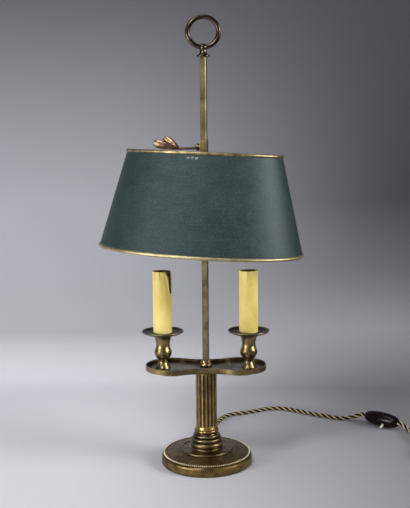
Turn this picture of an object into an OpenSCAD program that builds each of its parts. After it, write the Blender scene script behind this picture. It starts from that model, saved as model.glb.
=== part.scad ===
// Bouillotte lamp: two candle lights on a shared tray, an oval metal shade that
// slides on a square rod, a fluted column and a round weighted foot.
// Millimetres. The origin is on the table under the column's axis, +Z is up.

/* [Foot] */
// Radius of the round foot
foot_r = 63.2; // [55:0.1:75]
// Height of the foot's top, where the moulding stands
foot_top_z = 18.5; // [16:0.1:24]
// Wall of the foot casting
foot_wall = 3; // [2:0.1:4]
// Height of the foot's upright edge, below its bead band
foot_edge_z = 10.8; // [9.5:0.1:12]
// Number of beads round the foot
bead_count = 132; // [60:1:150]
// Radius of one bead
bead_r = 1.3; // [1:0.1:1.5]
// Thickness of the felt under the foot
felt_t = 1; // [0.8:0.1:1.2]
// Thickness of the plate that closes the foot
plate_t = 1.2; // [1:0.1:1.4]
// Height of the ring-shaped weight inside the foot
weight_h = 8; // [4:0.1:9]
// Inner radius of the weight
weight_r_in = 24; // [22:0.1:30]

/* [Moulding] */
// Radius of the fillet ring where the moulding meets the foot
bell_r = 36; // [32:0.1:42]
// Radii of the three stacked rolls, from the lowest up
roll_r = [23.1, 21.1, 18.7]; // [16:0.1:30]
// Thicknesses of the three rolls, from the lowest up
roll_t = [8.2, 5.4, 4.8]; // [4:0.1:9]
// Height of the bell between the foot and the lowest roll
bell_h = 4.6; // [3:0.1:8]
// Radius of the neck above the rolls
neck_r = 14.2; // [12:0.1:16]
// Height of the neck
neck_h = 2.4; // [1:0.1:5]

/* [Column] */
// Radius of the fluted column
column_r = 14.7; // [13:0.1:18]
// Height of the column with its foot ring
column_h = 84.7; // [60:0.1:120]
// Radius of the ring at the column's foot
collar_r = 17.1; // [15.5:0.1:20]
// Height of the ring at the column's foot
collar_h = 4.2; // [3:0.1:6]
// Number of flutes
flute_count = 16; // [12:1:20]
// Radius of one flute's cutter
flute_r = 2.1; // [1.5:0.1:2.4]
// Depth of a flute
flute_depth = 1.2; // [0.6:0.1:1.6]
// Wall between the column's bore and its outside
column_wall = 4.2; // [3.6:0.1:6]

/* [Tray] */
// Half the length of the tray
tray_half = 83.8; // [80:0.1:110]
// Radius of the tray's round ends
tray_end_r = 37; // [32:0.1:42]
// Half the depth of the tray at its waist
waist_half = 26.5; // [24:0.1:30]
// Height of the tray's edge
tray_h = 6.8; // [6:0.1:14]
// Thickness of the tray's floor
tray_floor = 1.8; // [1.2:0.1:3]
// Thickness of the tray's edge
tray_edge = 1.7; // [1.2:0.1:3]
// Depth of the wire cover under the tray
cover_h = 4.6; // [4.4:0.1:8]
// Wall of the wire cover
cover_wall = 0.8; // [0.6:0.1:1]

/* [Candle lights] */
// Distance between the axes of the two lights
light_gap = 118.8; // [112:0.1:150]
// Height of a turned cup
cup_h = 46.4; // [40:0.1:60]
// Radius of the cup's belly
cup_belly_r = 12.25; // [11:0.1:14]
// Radius of the cup's stem, its narrowest place
cup_stem_r = 6.4; // [6.2:0.1:8]
// Radius of a drip pan
pan_r = 28.9; // [24:0.1:34]
// Height of a drip pan
pan_h = 6.3; // [5:0.1:9]
// Radius of a candle sleeve
candle_r = 13; // [12.2:0.1:14]
// Length of a candle sleeve
candle_h = 85.4; // [80:0.1:120]
// Wall of a candle sleeve
candle_wall = 1.4; // [1:0.1:1.6]
// Radius of the threaded tubes that carry the rod and the lights
tube_r = 5; // [4.8:0.1:5.2]
// Bore radius of those tubes
tube_bore_r = 3.9; // [3.4:0.1:4]
// Length of a lampholder
holder_h = 34; // [30:0.1:40]
// Radius of a lampholder's body
holder_r = 10.6; // [9.5:0.1:10.6]
// Thread radius of the screw shell for a small lamp cap
socket_r = 7; // [6.9:0.05:7.1]
// Depth of the screw shell
socket_h = 24; // [20:0.1:26]
// How far the lampholder's mouth lies below the candle's rim
holder_inset = 3; // [1:0.1:8]

/* [Rod and finial] */
// Side of the square rod
rod_side = 8; // [7:0.1:9]
// Turn of the rod and the shade about the upright axis, in degrees
rod_turn = 13; // [0:0.5:20]
// Height of the rod's top above the table
rod_top_z = 557.5; // [500:0.5:620]
// Radius of the bun-shaped socket under the rod
socket_bun_r = 8.6; // [8.2:0.1:11]
// Height of that socket
socket_bun_h = 10; // [9:0.1:14]
// Radius of the finial's flange
flange_r = 9.3; // [7:0.1:12]
// Height from the flange's foot to the middle of the finial's ball
ball_up = 12.2; // [11:0.1:18]
// Radius of the finial's ball
ball_r = 5.2; // [4:0.1:5.5]
// Outer radius of the carrying ring
ring_r = 23.3; // [18:0.1:30]
// Radius of the ring's wire
ring_wire_r = 3.2; // [2:0.1:3.4]

/* [Shade] */
// Half the length of the shade at its top
shade_top_a = 106.5; // [90:0.5:115]
// Half the depth of the shade at its top
shade_top_b = 64; // [55:0.5:75]
// How far the shade spreads from its top to its bottom, on each side
shade_flare = 34; // [20:0.5:40]
// Height of the shade
shade_h = 130; // [100:0.5:135]
// Height of the shade's top rim above the table
shade_top_z = 430; // [400:0.5:440]
// How much the shade hangs down on its right, in degrees
shade_tilt = 3.1; // [0:0.1:4]
// Thickness of the shade's sheet
sheet_t = 1; // [0.8:0.1:1.5]
// Radius of the brass bead rolled round the shade's rims
bead_rim_r = 2.3; // [1.6:0.1:2.6]
// Width of the cross-bar that carries the shade
bar_w = 15; // [14:0.1:18]
// Thickness of the cross-bar
bar_t = 2; // [1.6:0.1:3]
// Depth of the cross-bar below the shade's top rim
bar_drop = 3.2; // [3:0.1:12]
// Radius of a rivet's shank
rivet_r = 1.3; // [1:0.1:1.6]
// Side of the square slide that runs on the rod
slide_side = 9.8; // [9.6:0.1:13]
// Length of the slide
slide_h = 30; // [24:0.1:40]

/* [Thumb key] */
// Height of the key's axis above the shade's top rim
key_up = 8.7; // [8:0.1:10]
// Radius of the key's collar
key_collar_r = 5.2; // [4:0.1:6]
// Thickness of the key's collar
key_collar_t = 4.6; // [3:0.1:6]
// Radius of the key's threaded shank
key_screw_r = 2; // [1.5:0.1:2.5]
// Length of the key's stem, from its collar to the leaf
key_stem = 25; // [15:0.5:32]
// Length of the key's leaf
key_leaf_l = 34; // [26:0.5:36]

/* [Cord] */
// Radius of the twisted cord
cord_r = 3.4; // [3:0.1:3.5]
// Height of the cord's hole in the foot
cord_exit_z = 6.2; // [5.6:0.1:7]
// Length of the tapered bushing outside the foot
bushing_l = 24; // [20:0.1:40]
// Radius of the coil's outermost turn
coil_r = 45.5; // [44:0.5:50]
// Distance between two turns, beside or above each other
coil_pitch = 7.3; // [7.2:0.1:8]
// Number of turns in the coil's two layers together
coil_turns = 6; // [4:2:8]

/* [Switch] */
// Length of the switch
switch_l = 57; // [56:0.1:64]
// Radius of the switch at its middle
switch_r = 11.4; // [10:0.1:11.5]
// Wall of the switch's shells
switch_wall = 1.8; // [1.2:0.1:2.2]
// Radius of the switch's push bar
push_r = 2; // [1.5:0.1:2.2]
// Travel of the push bar
push_travel = 5; // [4:0.1:5.5]
// How far the switch has rolled about its length, in degrees
switch_roll = 27; // [0:1:28]

/* [Plug] */
// Length of the plug's body
plug_l = 36; // [30:0.1:45]
// Width of the plug's body
plug_w = 34; // [30:0.1:38]
// Radius of a plug pin
pin_r = 2.4; // [2:0.05:2.4]
// Free length of a plug pin
pin_l = 19; // [17:0.1:20]
// Distance between the two pins
pin_gap = 19; // [18.6:0.1:19.4]

/* [Fits] */
// Clearance of a piece that is seated or slides in another
fit = 0.1; // [0.05:0.01:0.15]
// Clearance between solid pieces that only lie beside each other
air = 0.3; // [0.2:0.05:0.5]

/* [Hidden] */
$fn = 64;

// Finishes
brass = [0.55, 0.45, 0.27];
dark_brass = [0.36, 0.30, 0.20];
bronze = [0.62, 0.47, 0.33];
steel = [0.55, 0.55, 0.56];
wax = [0.91, 0.86, 0.60];
bakelite = [0.13, 0.09, 0.08];
shade_green = [0.27, 0.34, 0.31];
cord_gold = [0.62, 0.50, 0.30];
porcelain = [0.90, 0.89, 0.85];

// Heights of the stack, from the table up
rim_gap = 0.6;                              // the casting's rim stays off the table
plate_z = felt_t;
weight_z = plate_z + plate_t;
roll_z0 = foot_top_z + bell_h;
roll_z = [roll_z0, roll_z0 + roll_t[0], roll_z0 + roll_t[0] + roll_t[1]];
rolls_top_z = roll_z[2] + roll_t[2];
collar_z = rolls_top_z + neck_h;
cover_z = collar_z + column_h;
tray_z = cover_z + cover_h;
floor_z = tray_z + tray_floor;
pan_z = floor_z + cup_h;
candle_z = pan_z + 0.64 * pan_h;
candle_top_z = candle_z + candle_h;
holder_z = candle_top_z - holder_inset - holder_h;
socket_z = candle_top_z - holder_inset - socket_h;
bun_top_z = floor_z + socket_bun_h;
rod_seat_z = bun_top_z - 3.4;
ring_z = rod_top_z + ball_up + ring_r - ring_wire_r;

// Foot
foot_in_r = foot_r - foot_wall;
foot_ceiling_z = foot_top_z - foot_wall;
fillet_r = foot_r - 5.4;
bead_seat_r = foot_r - 3.6;
bead_seat_z = foot_edge_z + 2.4;
nut_half = 8.5;
nut_h = 4.5;
washer_t = 1.2;
tube_foot_z = foot_ceiling_z - washer_t - nut_h - 1;
bushing_r = cord_r + 0.9;
slot_w = 2 * cord_r + 2.4;
block = [16, 9, 7];
block_y = nut_half + 3;

// Tray outline: two round ends and a waist cut by two large circles
lobe_x = tray_half - tray_end_r;
waist_r = (lobe_x * lobe_x + waist_half * waist_half - tray_end_r * tray_end_r)
    / (2 * (tray_end_r - waist_half));
waist_turn = 180 - atan((waist_half + waist_r) / lobe_x);   // where an end meets the waist
cover_inset = 14;

// Lights
light_x = light_gap / 2;
locknut_h = 1.8;
locknut_half = 7;
nipple_z = tray_z - locknut_h;
nipple_top_z = holder_z + 2.4;
holder_floor_z = socket_z - 3;
contact_r = 2.6;                            // the spring contact under the lamp cap
contact_h = 2.4;
candle_bore_r = candle_r - candle_wall;
thin_r = 0.85;                              // radius of the thin leads inside the lamp
lead_z = cover_z + cover_wall + thin_r + 0.05;
tube_window = 4.4;
wax_left = [-50, 2, 20];                    // a wax run: angle, depth under the candle's rim, length
wax_right = [-62, 9, 15];

// Shade and key
shade_bottom_a = shade_top_a + shade_flare;
shade_bottom_b = shade_top_b + shade_flare;
shade_steps = 72;
flare_angle = atan(shade_flare / shade_h);
slide_top_z = shade_top_z + 18;
slide_bottom_z = slide_top_z - slide_h;
key_z = shade_top_z + key_up;
key_boss_t = 1.6;
key_collar_x = slide_side / 2 + key_boss_t + air;
key_stem_x = key_collar_x + key_collar_t;
key_leaf_x = key_stem_x + key_stem;
rivet_x = [-5.4, 0, 5.4];
tab_h = 6;
petal_t = 2.7;                              // half thickness of a petal

// Cord: hand-chosen route on the table, from the bushing's tip to the coil
cord_z = cord_r + 0.1;
bushing_tip_y = foot_r + bushing_l;
switch_at = [277.6, 140.5, switch_r + 0.2];
switch_turn = -43;
switch_dir = [cos(switch_turn), sin(switch_turn), 0];
switch_in = switch_at - switch_dir * switch_l / 2;
switch_out = switch_at + switch_dir * switch_l / 2;
route_lamp_side = [
    [0, bushing_tip_y, cord_exit_z], [0, bushing_tip_y + 3, cord_exit_z],
    [0, bushing_tip_y + 6, cord_exit_z], [1, 105, cord_z + 1], [3, 116, cord_z], [8, 130, cord_z],
    [15, 148, cord_z], [21, 168, cord_z], [30, 186, cord_z],
    [43, 198, cord_z], [60, 204, cord_z], [80, 213, cord_z], [102, 224, cord_z],
    [125, 227, cord_z], [146, 217, cord_z], [167, 201, cord_z], [187, 188, cord_z],
    [207, 176, cord_z], [223, 171, cord_z], [238, 170.5, cord_z + 3],
    switch_in - switch_dir * 9, switch_in - switch_dir * 6, switch_in - switch_dir * 3, switch_in
];
coil_at = [364, 80];
coil_start = 190;
coil_dir = [-sin(coil_start), cos(coil_start), 0];
coil_in = [coil_at[0] + coil_r * cos(coil_start), coil_at[1] + coil_r * sin(coil_start), cord_z];
lead_in_l = 7;
tail_l = 31;
route_plug_side = [
    switch_out, switch_out + switch_dir * 3, switch_out + switch_dir * 6, [310, 109.5, cord_z + 3],
    [316.5, 99.5, cord_z],
    [319.5, 89.5, cord_z], coil_in - coil_dir * (lead_in_l + 1), coil_in - coil_dir * lead_in_l
];
cord_sides = 8;
coil_sides = 6;
coil_rings = 24;

// Switch, in its own frame: X along the cord, Y along the push bar
switch_end_r = cord_r + 1;
push_out = push_travel + 1.5;
push_x = 7.5;
screw_x = [-16, 16];
screw_r = 1.2;
screw_boss_r = 2.8;
screw_head_r = 2;
screw_head_h = 1;
screw_start = 5;                            // under the screw's head, below the parting plane
screw_end = 4.5;
contact_t = 0.8;
contact_w = 8;
contact_up = 3;

// Plug, in its own frame: X along the cord, towards the pins
plug_at = coil_in + coil_dir * tail_l + [0, 0, coil_pitch];
plug_turn = coil_start + 90;
plug_half = plug_at[2];
grip_l = 22;
pin_root = 8;
pin_root_r = 1.9;
pin_tip = 1.4;

// ---------- helpers ----------

function unit(v) = v / norm(v);

function spline(a, b, c, d, t) =
    0.5 * (2 * b + (c - a) * t + (2 * a - 5 * b + 4 * c - d) * t * t
        + (3 * b - a - 3 * c + d) * t * t * t);

// A smooth line through the points, with steps pieces between two of them
function smooth_line(p, steps) = [
    for (i = [0 : len(p) - 2], j = [0 : steps - 1])
        spline(p[max(i - 1, 0)], p[i], p[i + 1], p[min(i + 2, len(p) - 1)], j / steps),
    p[len(p) - 1]
];

function heading(p, i) = unit(p[min(i + 1, len(p) - 1)] - p[max(i - 1, 0)]);

function ring_points(at, dir, up, r, sides) =
    let (side = unit(cross(dir, up)), top = cross(side, dir))
    [for (k = [0 : sides - 1]) at + r * (cos(360 * k / sides) * side + sin(360 * k / sides) * top)];

function tube_sides(rings, sides) = [
    for (i = [0 : rings - 2], k = [0 : sides - 1], half = [0, 1])
        let (a = i * sides + k, b = i * sides + (k + 1) % sides)
        half == 0 ? [a, b, b + sides] : [a, b + sides, a + sides]
];

function tube_ends(rings, sides) = [
    for (k = [1 : sides - 2]) [0, k + 1, k],
    for (k = [1 : sides - 2])
        let (last = (rings - 1) * sides) [last, last + k, last + k + 1]
];

// A solid tube along the points; up is never along it
module tube(points, r, sides, up = [0, 0, 1]) {
    rings = len(points);
    polyhedron(
        [for (i = [0 : rings - 1]) each ring_points(points[i], heading(points, i), up, r, sides)],
        concat(tube_sides(rings, sides), tube_ends(rings, sides)), convexity = 10);
}

module ring_solid(r_out, r_in, h) {
    difference() {
        cylinder(r = r_out, h = h);
        translate([0, 0, -1]) cylinder(r = r_in, h = h + 2);
    }
}

module hex_nut(half, bore_r, h) {
    difference() {
        cylinder(r = half / cos(30), h = h, $fn = 6);
        translate([0, 0, -1]) cylinder(r = bore_r, h = h + 2);
    }
}

// Half a turned roll's outline, from its foot to its top, round a barrel radius
function roll(r, z, t) = [
    for (k = [0 : 8]) let (a = -90 + 180 * k / 8) [r - t / 2 + t / 2 * cos(a), z + t / 2 + t / 2 * sin(a)]
];

module at_light(side) translate([side * light_x, 0, 0]) children();

module with_rod() rotate([0, 0, -rod_turn]) children();

module in_shade() with_rod() translate([0, 0, shade_top_z]) rotate([0, shade_tilt, 0]) children();

module in_switch() translate(switch_at) rotate([0, 0, switch_turn]) rotate([switch_roll, 0, 0]) children();

module in_plug() translate(plug_at) rotate([0, 0, plug_turn]) children();

// ---------- foot ----------

module foot_shell() color(brass) difference() {
    rotate_extrude($fn = 128) polygon([
        [0, foot_ceiling_z], [bell_r, foot_ceiling_z], [fillet_r - foot_wall, foot_edge_z + 1],
        [foot_in_r, foot_edge_z - 1], [foot_in_r, rim_gap], [foot_r - 0.8, rim_gap],
        [foot_r, rim_gap + 0.8], [foot_r, foot_edge_z - 0.5], [foot_r - 0.5, foot_edge_z + 1],
        [foot_r - 1.3, foot_edge_z + 1.9], [foot_r - 2.3, bead_seat_z],
        [fillet_r + 0.9, bead_seat_z], [fillet_r + 0.9, foot_edge_z + 4.2],
        [fillet_r + 0.3, foot_edge_z + 4.9], [fillet_r - 0.6, foot_edge_z + 4.9],
        [fillet_r - 1.2, foot_edge_z + 4.3], [bell_r, foot_top_z], [0, foot_top_z]
    ]);
    translate([0, 0, foot_ceiling_z - 1]) cylinder(r = tube_r + fit, h = foot_wall + 2);
    translate([0, foot_in_r - 3, cord_exit_z]) rotate([-90, 0, 0]) cylinder(r = bushing_r, h = 9);
}

module bead_border() color(brass)
    for (i = [0 : bead_count - 1]) rotate([0, 0, 360 * i / bead_count])
        translate([bead_seat_r, 0, bead_seat_z + bead_r + 0.05]) sphere(r = bead_r, $fn = 16);

module base_weight() color(steel) difference() {
    translate([0, 0, weight_z]) ring_solid(fillet_r - foot_wall - 1, weight_r_in, weight_h);
    translate([-slot_w / 2, 0, weight_z - 1]) cube([slot_w, foot_r, weight_h + 2]);
}

module base_plate() color(steel)
    translate([0, 0, plate_z]) cylinder(r = foot_in_r - fit, h = plate_t);

module felt_pad() color([0.16, 0.24, 0.18]) cylinder(r = foot_in_r - 1, h = felt_t);

module cord_bushing() color(bakelite) translate([0, 0, cord_exit_z]) rotate([-90, 0, 0])
    rotate_extrude() polygon([
        [cord_r, foot_in_r], [bushing_r, foot_in_r], [bushing_r, foot_r + fit],
        [bushing_r + 0.8, foot_r + fit], [bushing_r + 0.8, foot_r + 2], [bushing_r, foot_r + 3.4],
        [cord_r + 0.6, bushing_tip_y], [cord_r, bushing_tip_y]
    ]);

module terminal_block() color(porcelain)
    translate([-block[0] / 2, block_y, weight_z]) cube(block);

module cord_inner() color(cord_gold)
    translate([0, block_y + block[1], cord_exit_z]) rotate([-90, 0, 0])
        cylinder(r = cord_r, h = bushing_tip_y - block_y - block[1]);

module tie_tube() color(brass) difference() {
    translate([0, 0, tube_foot_z]) ring_solid(tube_r, tube_bore_r, rod_seat_z - 1.6 - tube_foot_z);
    translate([-tube_r - 1, -tube_window / 2, lead_z - 3.2]) cube([2 * tube_r + 2, tube_window, 5.4]);
}

module base_nut() color(steel)
    translate([0, 0, foot_ceiling_z - washer_t - nut_h]) hex_nut(nut_half, tube_r, nut_h);

module base_washer() color(steel)
    translate([0, 0, foot_ceiling_z - washer_t]) ring_solid(nut_half + 2, tube_r + fit, washer_t);

// ---------- moulding and column ----------

module base_moulding() color(brass) rotate_extrude($fn = 96) polygon(concat(
    [[tube_r + fit, foot_top_z], [bell_r, foot_top_z], [bell_r, foot_top_z + 1.6],
     [bell_r - 0.8, foot_top_z + 2.4], [bell_r - 1.8, foot_top_z + 2.4], [bell_r - 2.6, foot_top_z + 1.7]],
    [for (k = [0 : 6]) let (a = 90 * k / 6)
        [roll_r[0] - 1.4 + (bell_r - 3.4 - roll_r[0]) * (1 - sin(a)),
         foot_top_z + 1.7 + (bell_h - 1.9) * (1 - cos(a))]],
    roll(roll_r[0], roll_z[0], roll_t[0]),
    roll(roll_r[1], roll_z[1], roll_t[1]),
    roll(roll_r[2], roll_z[2], roll_t[2]),
    [[neck_r + 0.6, rolls_top_z], [neck_r, rolls_top_z + neck_h / 2], [neck_r + 0.8, collar_z],
     [tube_r + fit, collar_z]]
));

module column() color(brass) {
    flute_z0 = collar_z + collar_h + 5.5;
    flute_z1 = cover_z - 3;
    difference() {
        translate([0, 0, collar_z]) rotate_extrude($fn = 96) polygon(concat(
            [[tube_r + fit, 0], [neck_r + 0.8, 0]], roll(collar_r, 0.2, collar_h - 0.2),
            [[column_r + 0.9, collar_h], [column_r + 0.9, collar_h + 1.2], [column_r, collar_h + 4],
             [column_r, column_h], [tube_r + fit, column_h], [tube_r + fit, column_h - 3],
             [column_r - column_wall, column_h - 6], [column_r - column_wall, 8], [tube_r + fit, 5]]
        ));
        for (i = [0 : flute_count - 1]) rotate([0, 0, 360 * (i + 0.5) / flute_count])
            translate([column_r + flute_r - flute_depth, 0, 0]) {
                translate([0, 0, flute_z0]) cylinder(r = flute_r, h = flute_z1 - flute_z0, $fn = 24);
                translate([0, 0, flute_z0]) sphere(r = flute_r, $fn = 24);
                translate([0, 0, flute_z1]) sphere(r = flute_r, $fn = 24);
            }
    }
}

// ---------- tray ----------

// Half of the tray's outline: its right end, then its back waist
function half_outline(inset) = concat(
    [for (k = [0 : 40]) let (a = waist_turn * (k / 20 - 1))
        [lobe_x + (tray_end_r - inset) * cos(a), (tray_end_r - inset) * sin(a)]],
    [for (k = [1 : 15]) let (a = (waist_turn - 180) + (180 - 2 * waist_turn) * k / 16)
        [(waist_r + inset) * cos(a), waist_half + waist_r + (waist_r + inset) * sin(a)]]
);

module tray_outline(inset) polygon(concat(half_outline(inset), -1 * half_outline(inset)));

module tray() color(dark_brass) difference() {
    translate([0, 0, tray_z]) linear_extrude(tray_h) tray_outline(0);
    translate([0, 0, floor_z]) linear_extrude(tray_h) tray_outline(tray_edge);
    for (side = [-1, 0, 1]) translate([side * light_x, 0, tray_z - 1]) cylinder(r = tube_r + fit, h = tray_h);
}

module wire_cover() color(dark_brass) difference() {
    translate([0, 0, cover_z]) linear_extrude(cover_h) tray_outline(cover_inset);
    translate([0, 0, cover_z + cover_wall]) linear_extrude(cover_h) tray_outline(cover_inset + cover_wall);
    translate([0, 0, cover_z - 1]) cylinder(r = tube_r + fit, h = cover_h);
}

module cup_locknuts() color(steel) for (side = [-1, 1])
    at_light(side) translate([0, 0, nipple_z]) hex_nut(locknut_half, tube_r, locknut_h);

// ---------- candle lights ----------

module cup(side) color(brass) at_light(side) translate([0, 0, floor_z]) rotate_extrude() {
    belly_z = 0.5 * cup_h;
    polygon([
        [tube_r + fit, 0], [10.2, 0], [10.2, 1], [9.5, 2.2], [8, 4.8],
        [cup_stem_r, 8.6], [cup_stem_r, 11.6], [6.9, belly_z - 10.2], [8.5, belly_z - 9],
        [10.1, belly_z - 7.2], [cup_belly_r - 0.9, belly_z - 4.6], [cup_belly_r - 0.2, belly_z - 2.3],
        [cup_belly_r, belly_z - 0.7], [cup_belly_r, belly_z + 1.2],
        [cup_belly_r - 0.5, belly_z + 1.6], [cup_belly_r - 1.5, belly_z + 4], [9.8, belly_z + 7],
        [9.5, belly_z + 9], [10.1, belly_z + 13], [11.2, belly_z + 17.5], [12.2, cup_h - 3],
        [14.6, cup_h], [tube_r + fit, cup_h]
    ]);
}

module drip_pan(side) color(dark_brass) at_light(side) translate([0, 0, pan_z]) rotate_extrude($fn = 96) {
    seat = candle_z - pan_z;
    polygon([
        [tube_r + fit, 0], [15.5, 0], [pan_r - 6, 1.5], [pan_r - 1.2, pan_h - 2.2], [pan_r, pan_h - 1.2],
        [pan_r, pan_h - 0.4], [pan_r - 0.5, pan_h], [pan_r - 1.4, pan_h - 0.2], [pan_r - 3, pan_h - 2],
        [pan_r - 7, seat - 0.9], [candle_r + 1.6, seat - 1.2], [candle_r + 0.6, seat], [tube_r + fit, seat]
    ]);
}

// A run of wax on the candle's side, ending in a drop
module wax_run(angle, top_z, l) rotate([0, 0, angle]) translate([candle_r - 0.3, 0, top_z - l]) {
    cylinder(r = 0.9, h = l, $fn = 16);
    sphere(r = 1.4, $fn = 16);
}

module candle(side, run) color(wax) at_light(side) difference() {
    union() {
        translate([0, 0, candle_z]) cylinder(r = candle_r, h = candle_h);
        wax_run(run[0], candle_top_z - run[1], run[2]);
    }
    translate([0, 0, candle_z - 1]) cylinder(r = candle_bore_r, h = candle_h + 2);
}

module nipple(side) color(brass) at_light(side)
    translate([0, 0, nipple_z]) ring_solid(tube_r, tube_bore_r, nipple_top_z - nipple_z);

module lampholder(side) color(porcelain) at_light(side) difference() {
    translate([0, 0, holder_z]) cylinder(r = holder_r, h = holder_h);
    translate([0, 0, holder_z - 1]) cylinder(r = tube_r, h = holder_floor_z - holder_z - 2);
    translate([0, 0, holder_z]) cylinder(r = thin_r + fit, h = holder_h, $fn = 24);
    translate([0, 0, holder_floor_z]) cylinder(r = socket_r + 0.6, h = holder_h);
}

module screw_shells() color(brass) for (side = [-1, 1]) at_light(side)
    translate([0, 0, socket_z - 0.4]) ring_solid(socket_r + 0.5, socket_r, socket_h + 0.4);

module centre_contacts() color(steel) for (side = [-1, 1]) at_light(side)
    translate([0, 0, holder_floor_z]) cylinder(r = contact_r, h = contact_h, $fn = 32);

module lead(side) color(bakelite) tube([
    [side * 1.9, block_y, weight_z + 2.6], [side * 1.9, 6, weight_z + 2.6],
    [side * 1.9, 2, weight_z + 4], [side * 1.9, 0, tube_foot_z + 2],
    [side * 1.9, 0, lead_z - 6], [side * 2.3, 0, lead_z - 2.6], [side * 4, 0, lead_z - 0.2],
    [side * 7, 0, lead_z], [side * (light_x - 5), 0, lead_z], [side * (light_x - 2), 0, lead_z + 0.4],
    [side * (light_x - 0.4), 0, lead_z + 2.6], [side * light_x, 0, lead_z + 7],
    [side * light_x, 0, holder_floor_z - 6], [side * light_x, 0, holder_floor_z]
], thin_r, 8, [0.3, 0.55, -0.6]);

// ---------- rod and finial ----------

module rod_socket() color(brass) difference() {
    translate([0, 0, floor_z]) rotate_extrude() polygon(concat(
        [[0, 0], [socket_bun_r - 0.6, 0], [socket_bun_r - 0.6, 1]],
        roll(socket_bun_r, 1, socket_bun_h - 3.2),
        [[rod_side * 0.707 + 1.5, socket_bun_h - 1.8], [rod_side * 0.707 + 1.1, socket_bun_h],
         [0, socket_bun_h]]
    ));
    translate([0, 0, floor_z - 1]) cylinder(r = tube_r, h = rod_seat_z - 1.4 - floor_z + 1);
    with_rod() translate([-rod_side / 2 - fit, -rod_side / 2 - fit, rod_seat_z])
        cube([rod_side + 2 * fit, rod_side + 2 * fit, 9]);
}

module rod() color(brass) with_rod() {
    edge = 0.6;
    half = rod_side / 2;
    translate([0, 0, rod_seat_z]) linear_extrude(rod_top_z - rod_seat_z) polygon([
        [-half + edge, -half], [half - edge, -half], [half, -half + edge], [half, half - edge],
        [half - edge, half], [-half + edge, half], [-half, half - edge], [-half, -half + edge]
    ]);
    translate([0, 0, rod_top_z - 1]) cylinder(r = 2, h = 6, $fn = 32);
}

module ring_at() translate([0, 0, ring_z]) rotate([90, 0, 0])
    rotate_extrude($fn = 96) translate([ring_r - ring_wire_r, 0]) circle(r = ring_wire_r, $fn = 32);

module finial_base() color(brass) difference() {
    union() {
        translate([0, 0, rod_top_z]) rotate_extrude() polygon([
            [0, 0], [flange_r - 0.5, 0], [flange_r, 0.5], [flange_r, 1.7], [flange_r - 0.7, 2.4],
            [flange_r - 2.2, 3], [5.6, 4.8], [4.7, 6.6], [4.5, ball_up - 3.4], [3.2, ball_up], [0, ball_up]
        ]);
        translate([0, 0, rod_top_z + ball_up]) sphere(r = ball_r, $fn = 48);
    }
    translate([0, 0, rod_top_z - 1]) cylinder(r = 2 + fit, h = 6.4, $fn = 32);
    ring_at();
}

module finial_ring() color(brass) ring_at();

// ---------- shade ----------

function oval(a, b, z) = [
    for (k = [0 : shade_steps - 1]) [a * cos(360 * k / shade_steps), b * sin(360 * k / shade_steps), z]
];

// The sloping wall between two ovals, each given as half lengths and height
module oval_cone(top, bottom) {
    n = shade_steps;
    polyhedron(
        concat(oval(bottom[0], bottom[1], bottom[2]), oval(top[0], top[1], top[2]),
            [[0, 0, bottom[2]], [0, 0, top[2]]]),
        [for (k = [0 : n - 1], face = [0 : 3]) let (j = (k + 1) % n)
            face == 0 ? [k, k + n, j + n] : face == 1 ? [k, j + n, j]
                : face == 2 ? [2 * n, k, j] : [2 * n + 1, j + n, k + n]],
        convexity = 4);
}

module shade_shell() color(shade_green) in_shade() difference() {
    z0 = -shade_h + bead_rim_r / 2;
    z1 = -bead_rim_r / 2;
    slope = shade_flare / shade_h;
    more = 2;
    oval_cone([shade_top_a - slope * z1, shade_top_b - slope * z1, z1],
        [shade_top_a - slope * z0, shade_top_b - slope * z0, z0]);
    oval_cone(
        [shade_top_a - slope * (z1 + more) - sheet_t, shade_top_b - slope * (z1 + more) - sheet_t, z1 + more],
        [shade_top_a - slope * (z0 - more) - sheet_t, shade_top_b - slope * (z0 - more) - sheet_t,
         z0 - more]);
}

// A bead rolled round an oval edge
module rim_bead(a, b, z, r) {
    n = shade_steps;
    sides = 8;
    polyhedron(
        [for (k = [0 : n - 1], s = [0 : sides - 1]) let (u = 360 * k / n, w = 360 * (s + 0.5) / sides,
            out = unit([b * cos(u), a * sin(u), 0]))
            [a * cos(u), b * sin(u), z] + r * (cos(w) * out + [0, 0, sin(w)])],
        [for (k = [0 : n - 1], s = [0 : sides - 1], half = [0, 1])
            let (p = k * sides + s, q = k * sides + (s + 1) % sides,
                pn = ((k + 1) % n) * sides + s, qn = ((k + 1) % n) * sides + (s + 1) % sides)
            half == 0 ? [p, q, qn] : [p, qn, pn]],
        convexity = 10);
}

module shade_rim_top() color(brass) in_shade()
    rim_bead(shade_top_a - sheet_t / 2, shade_top_b - sheet_t / 2, 0, bead_rim_r);

module shade_rim_bottom() color(brass) in_shade()
    rim_bead(shade_bottom_a - sheet_t / 2, shade_bottom_b - sheet_t / 2, -shade_h, bead_rim_r);

// Half the depth of the shade's inside, at a depth below its top rim
function inside_b(drop) = shade_top_b + shade_flare * drop / shade_h - sheet_t;

module shade_bar() color(brass) difference() {
    in_shade() {
        reach = inside_b(bar_drop) - 0.4;
        translate([-bar_w / 2, -reach, -bar_drop - bar_t]) cube([bar_w, 2 * reach, bar_t]);
        for (side = [0, 180]) rotate([0, 0, side])
            translate([-bar_w / 2, -inside_b(bar_drop), -bar_drop]) rotate([-flare_angle, 0, 0])
                translate([0, 0.25, -tab_h]) cube([bar_w, 2, tab_h]);
    }
    with_rod() translate([-slide_side / 2, -slide_side / 2, slide_bottom_z - 20])
        cube([slide_side, slide_side, slide_h + 40]);
}

module rivet() {
    rotate([90, 0, 0]) translate([0, 0, -3.4]) cylinder(r = rivet_r, h = 3.9, $fn = 24);
    rotate([90, 0, 0]) cylinder(r1 = rivet_r + 0.9, r2 = rivet_r, h = 0.9, $fn = 24);
}

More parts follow.
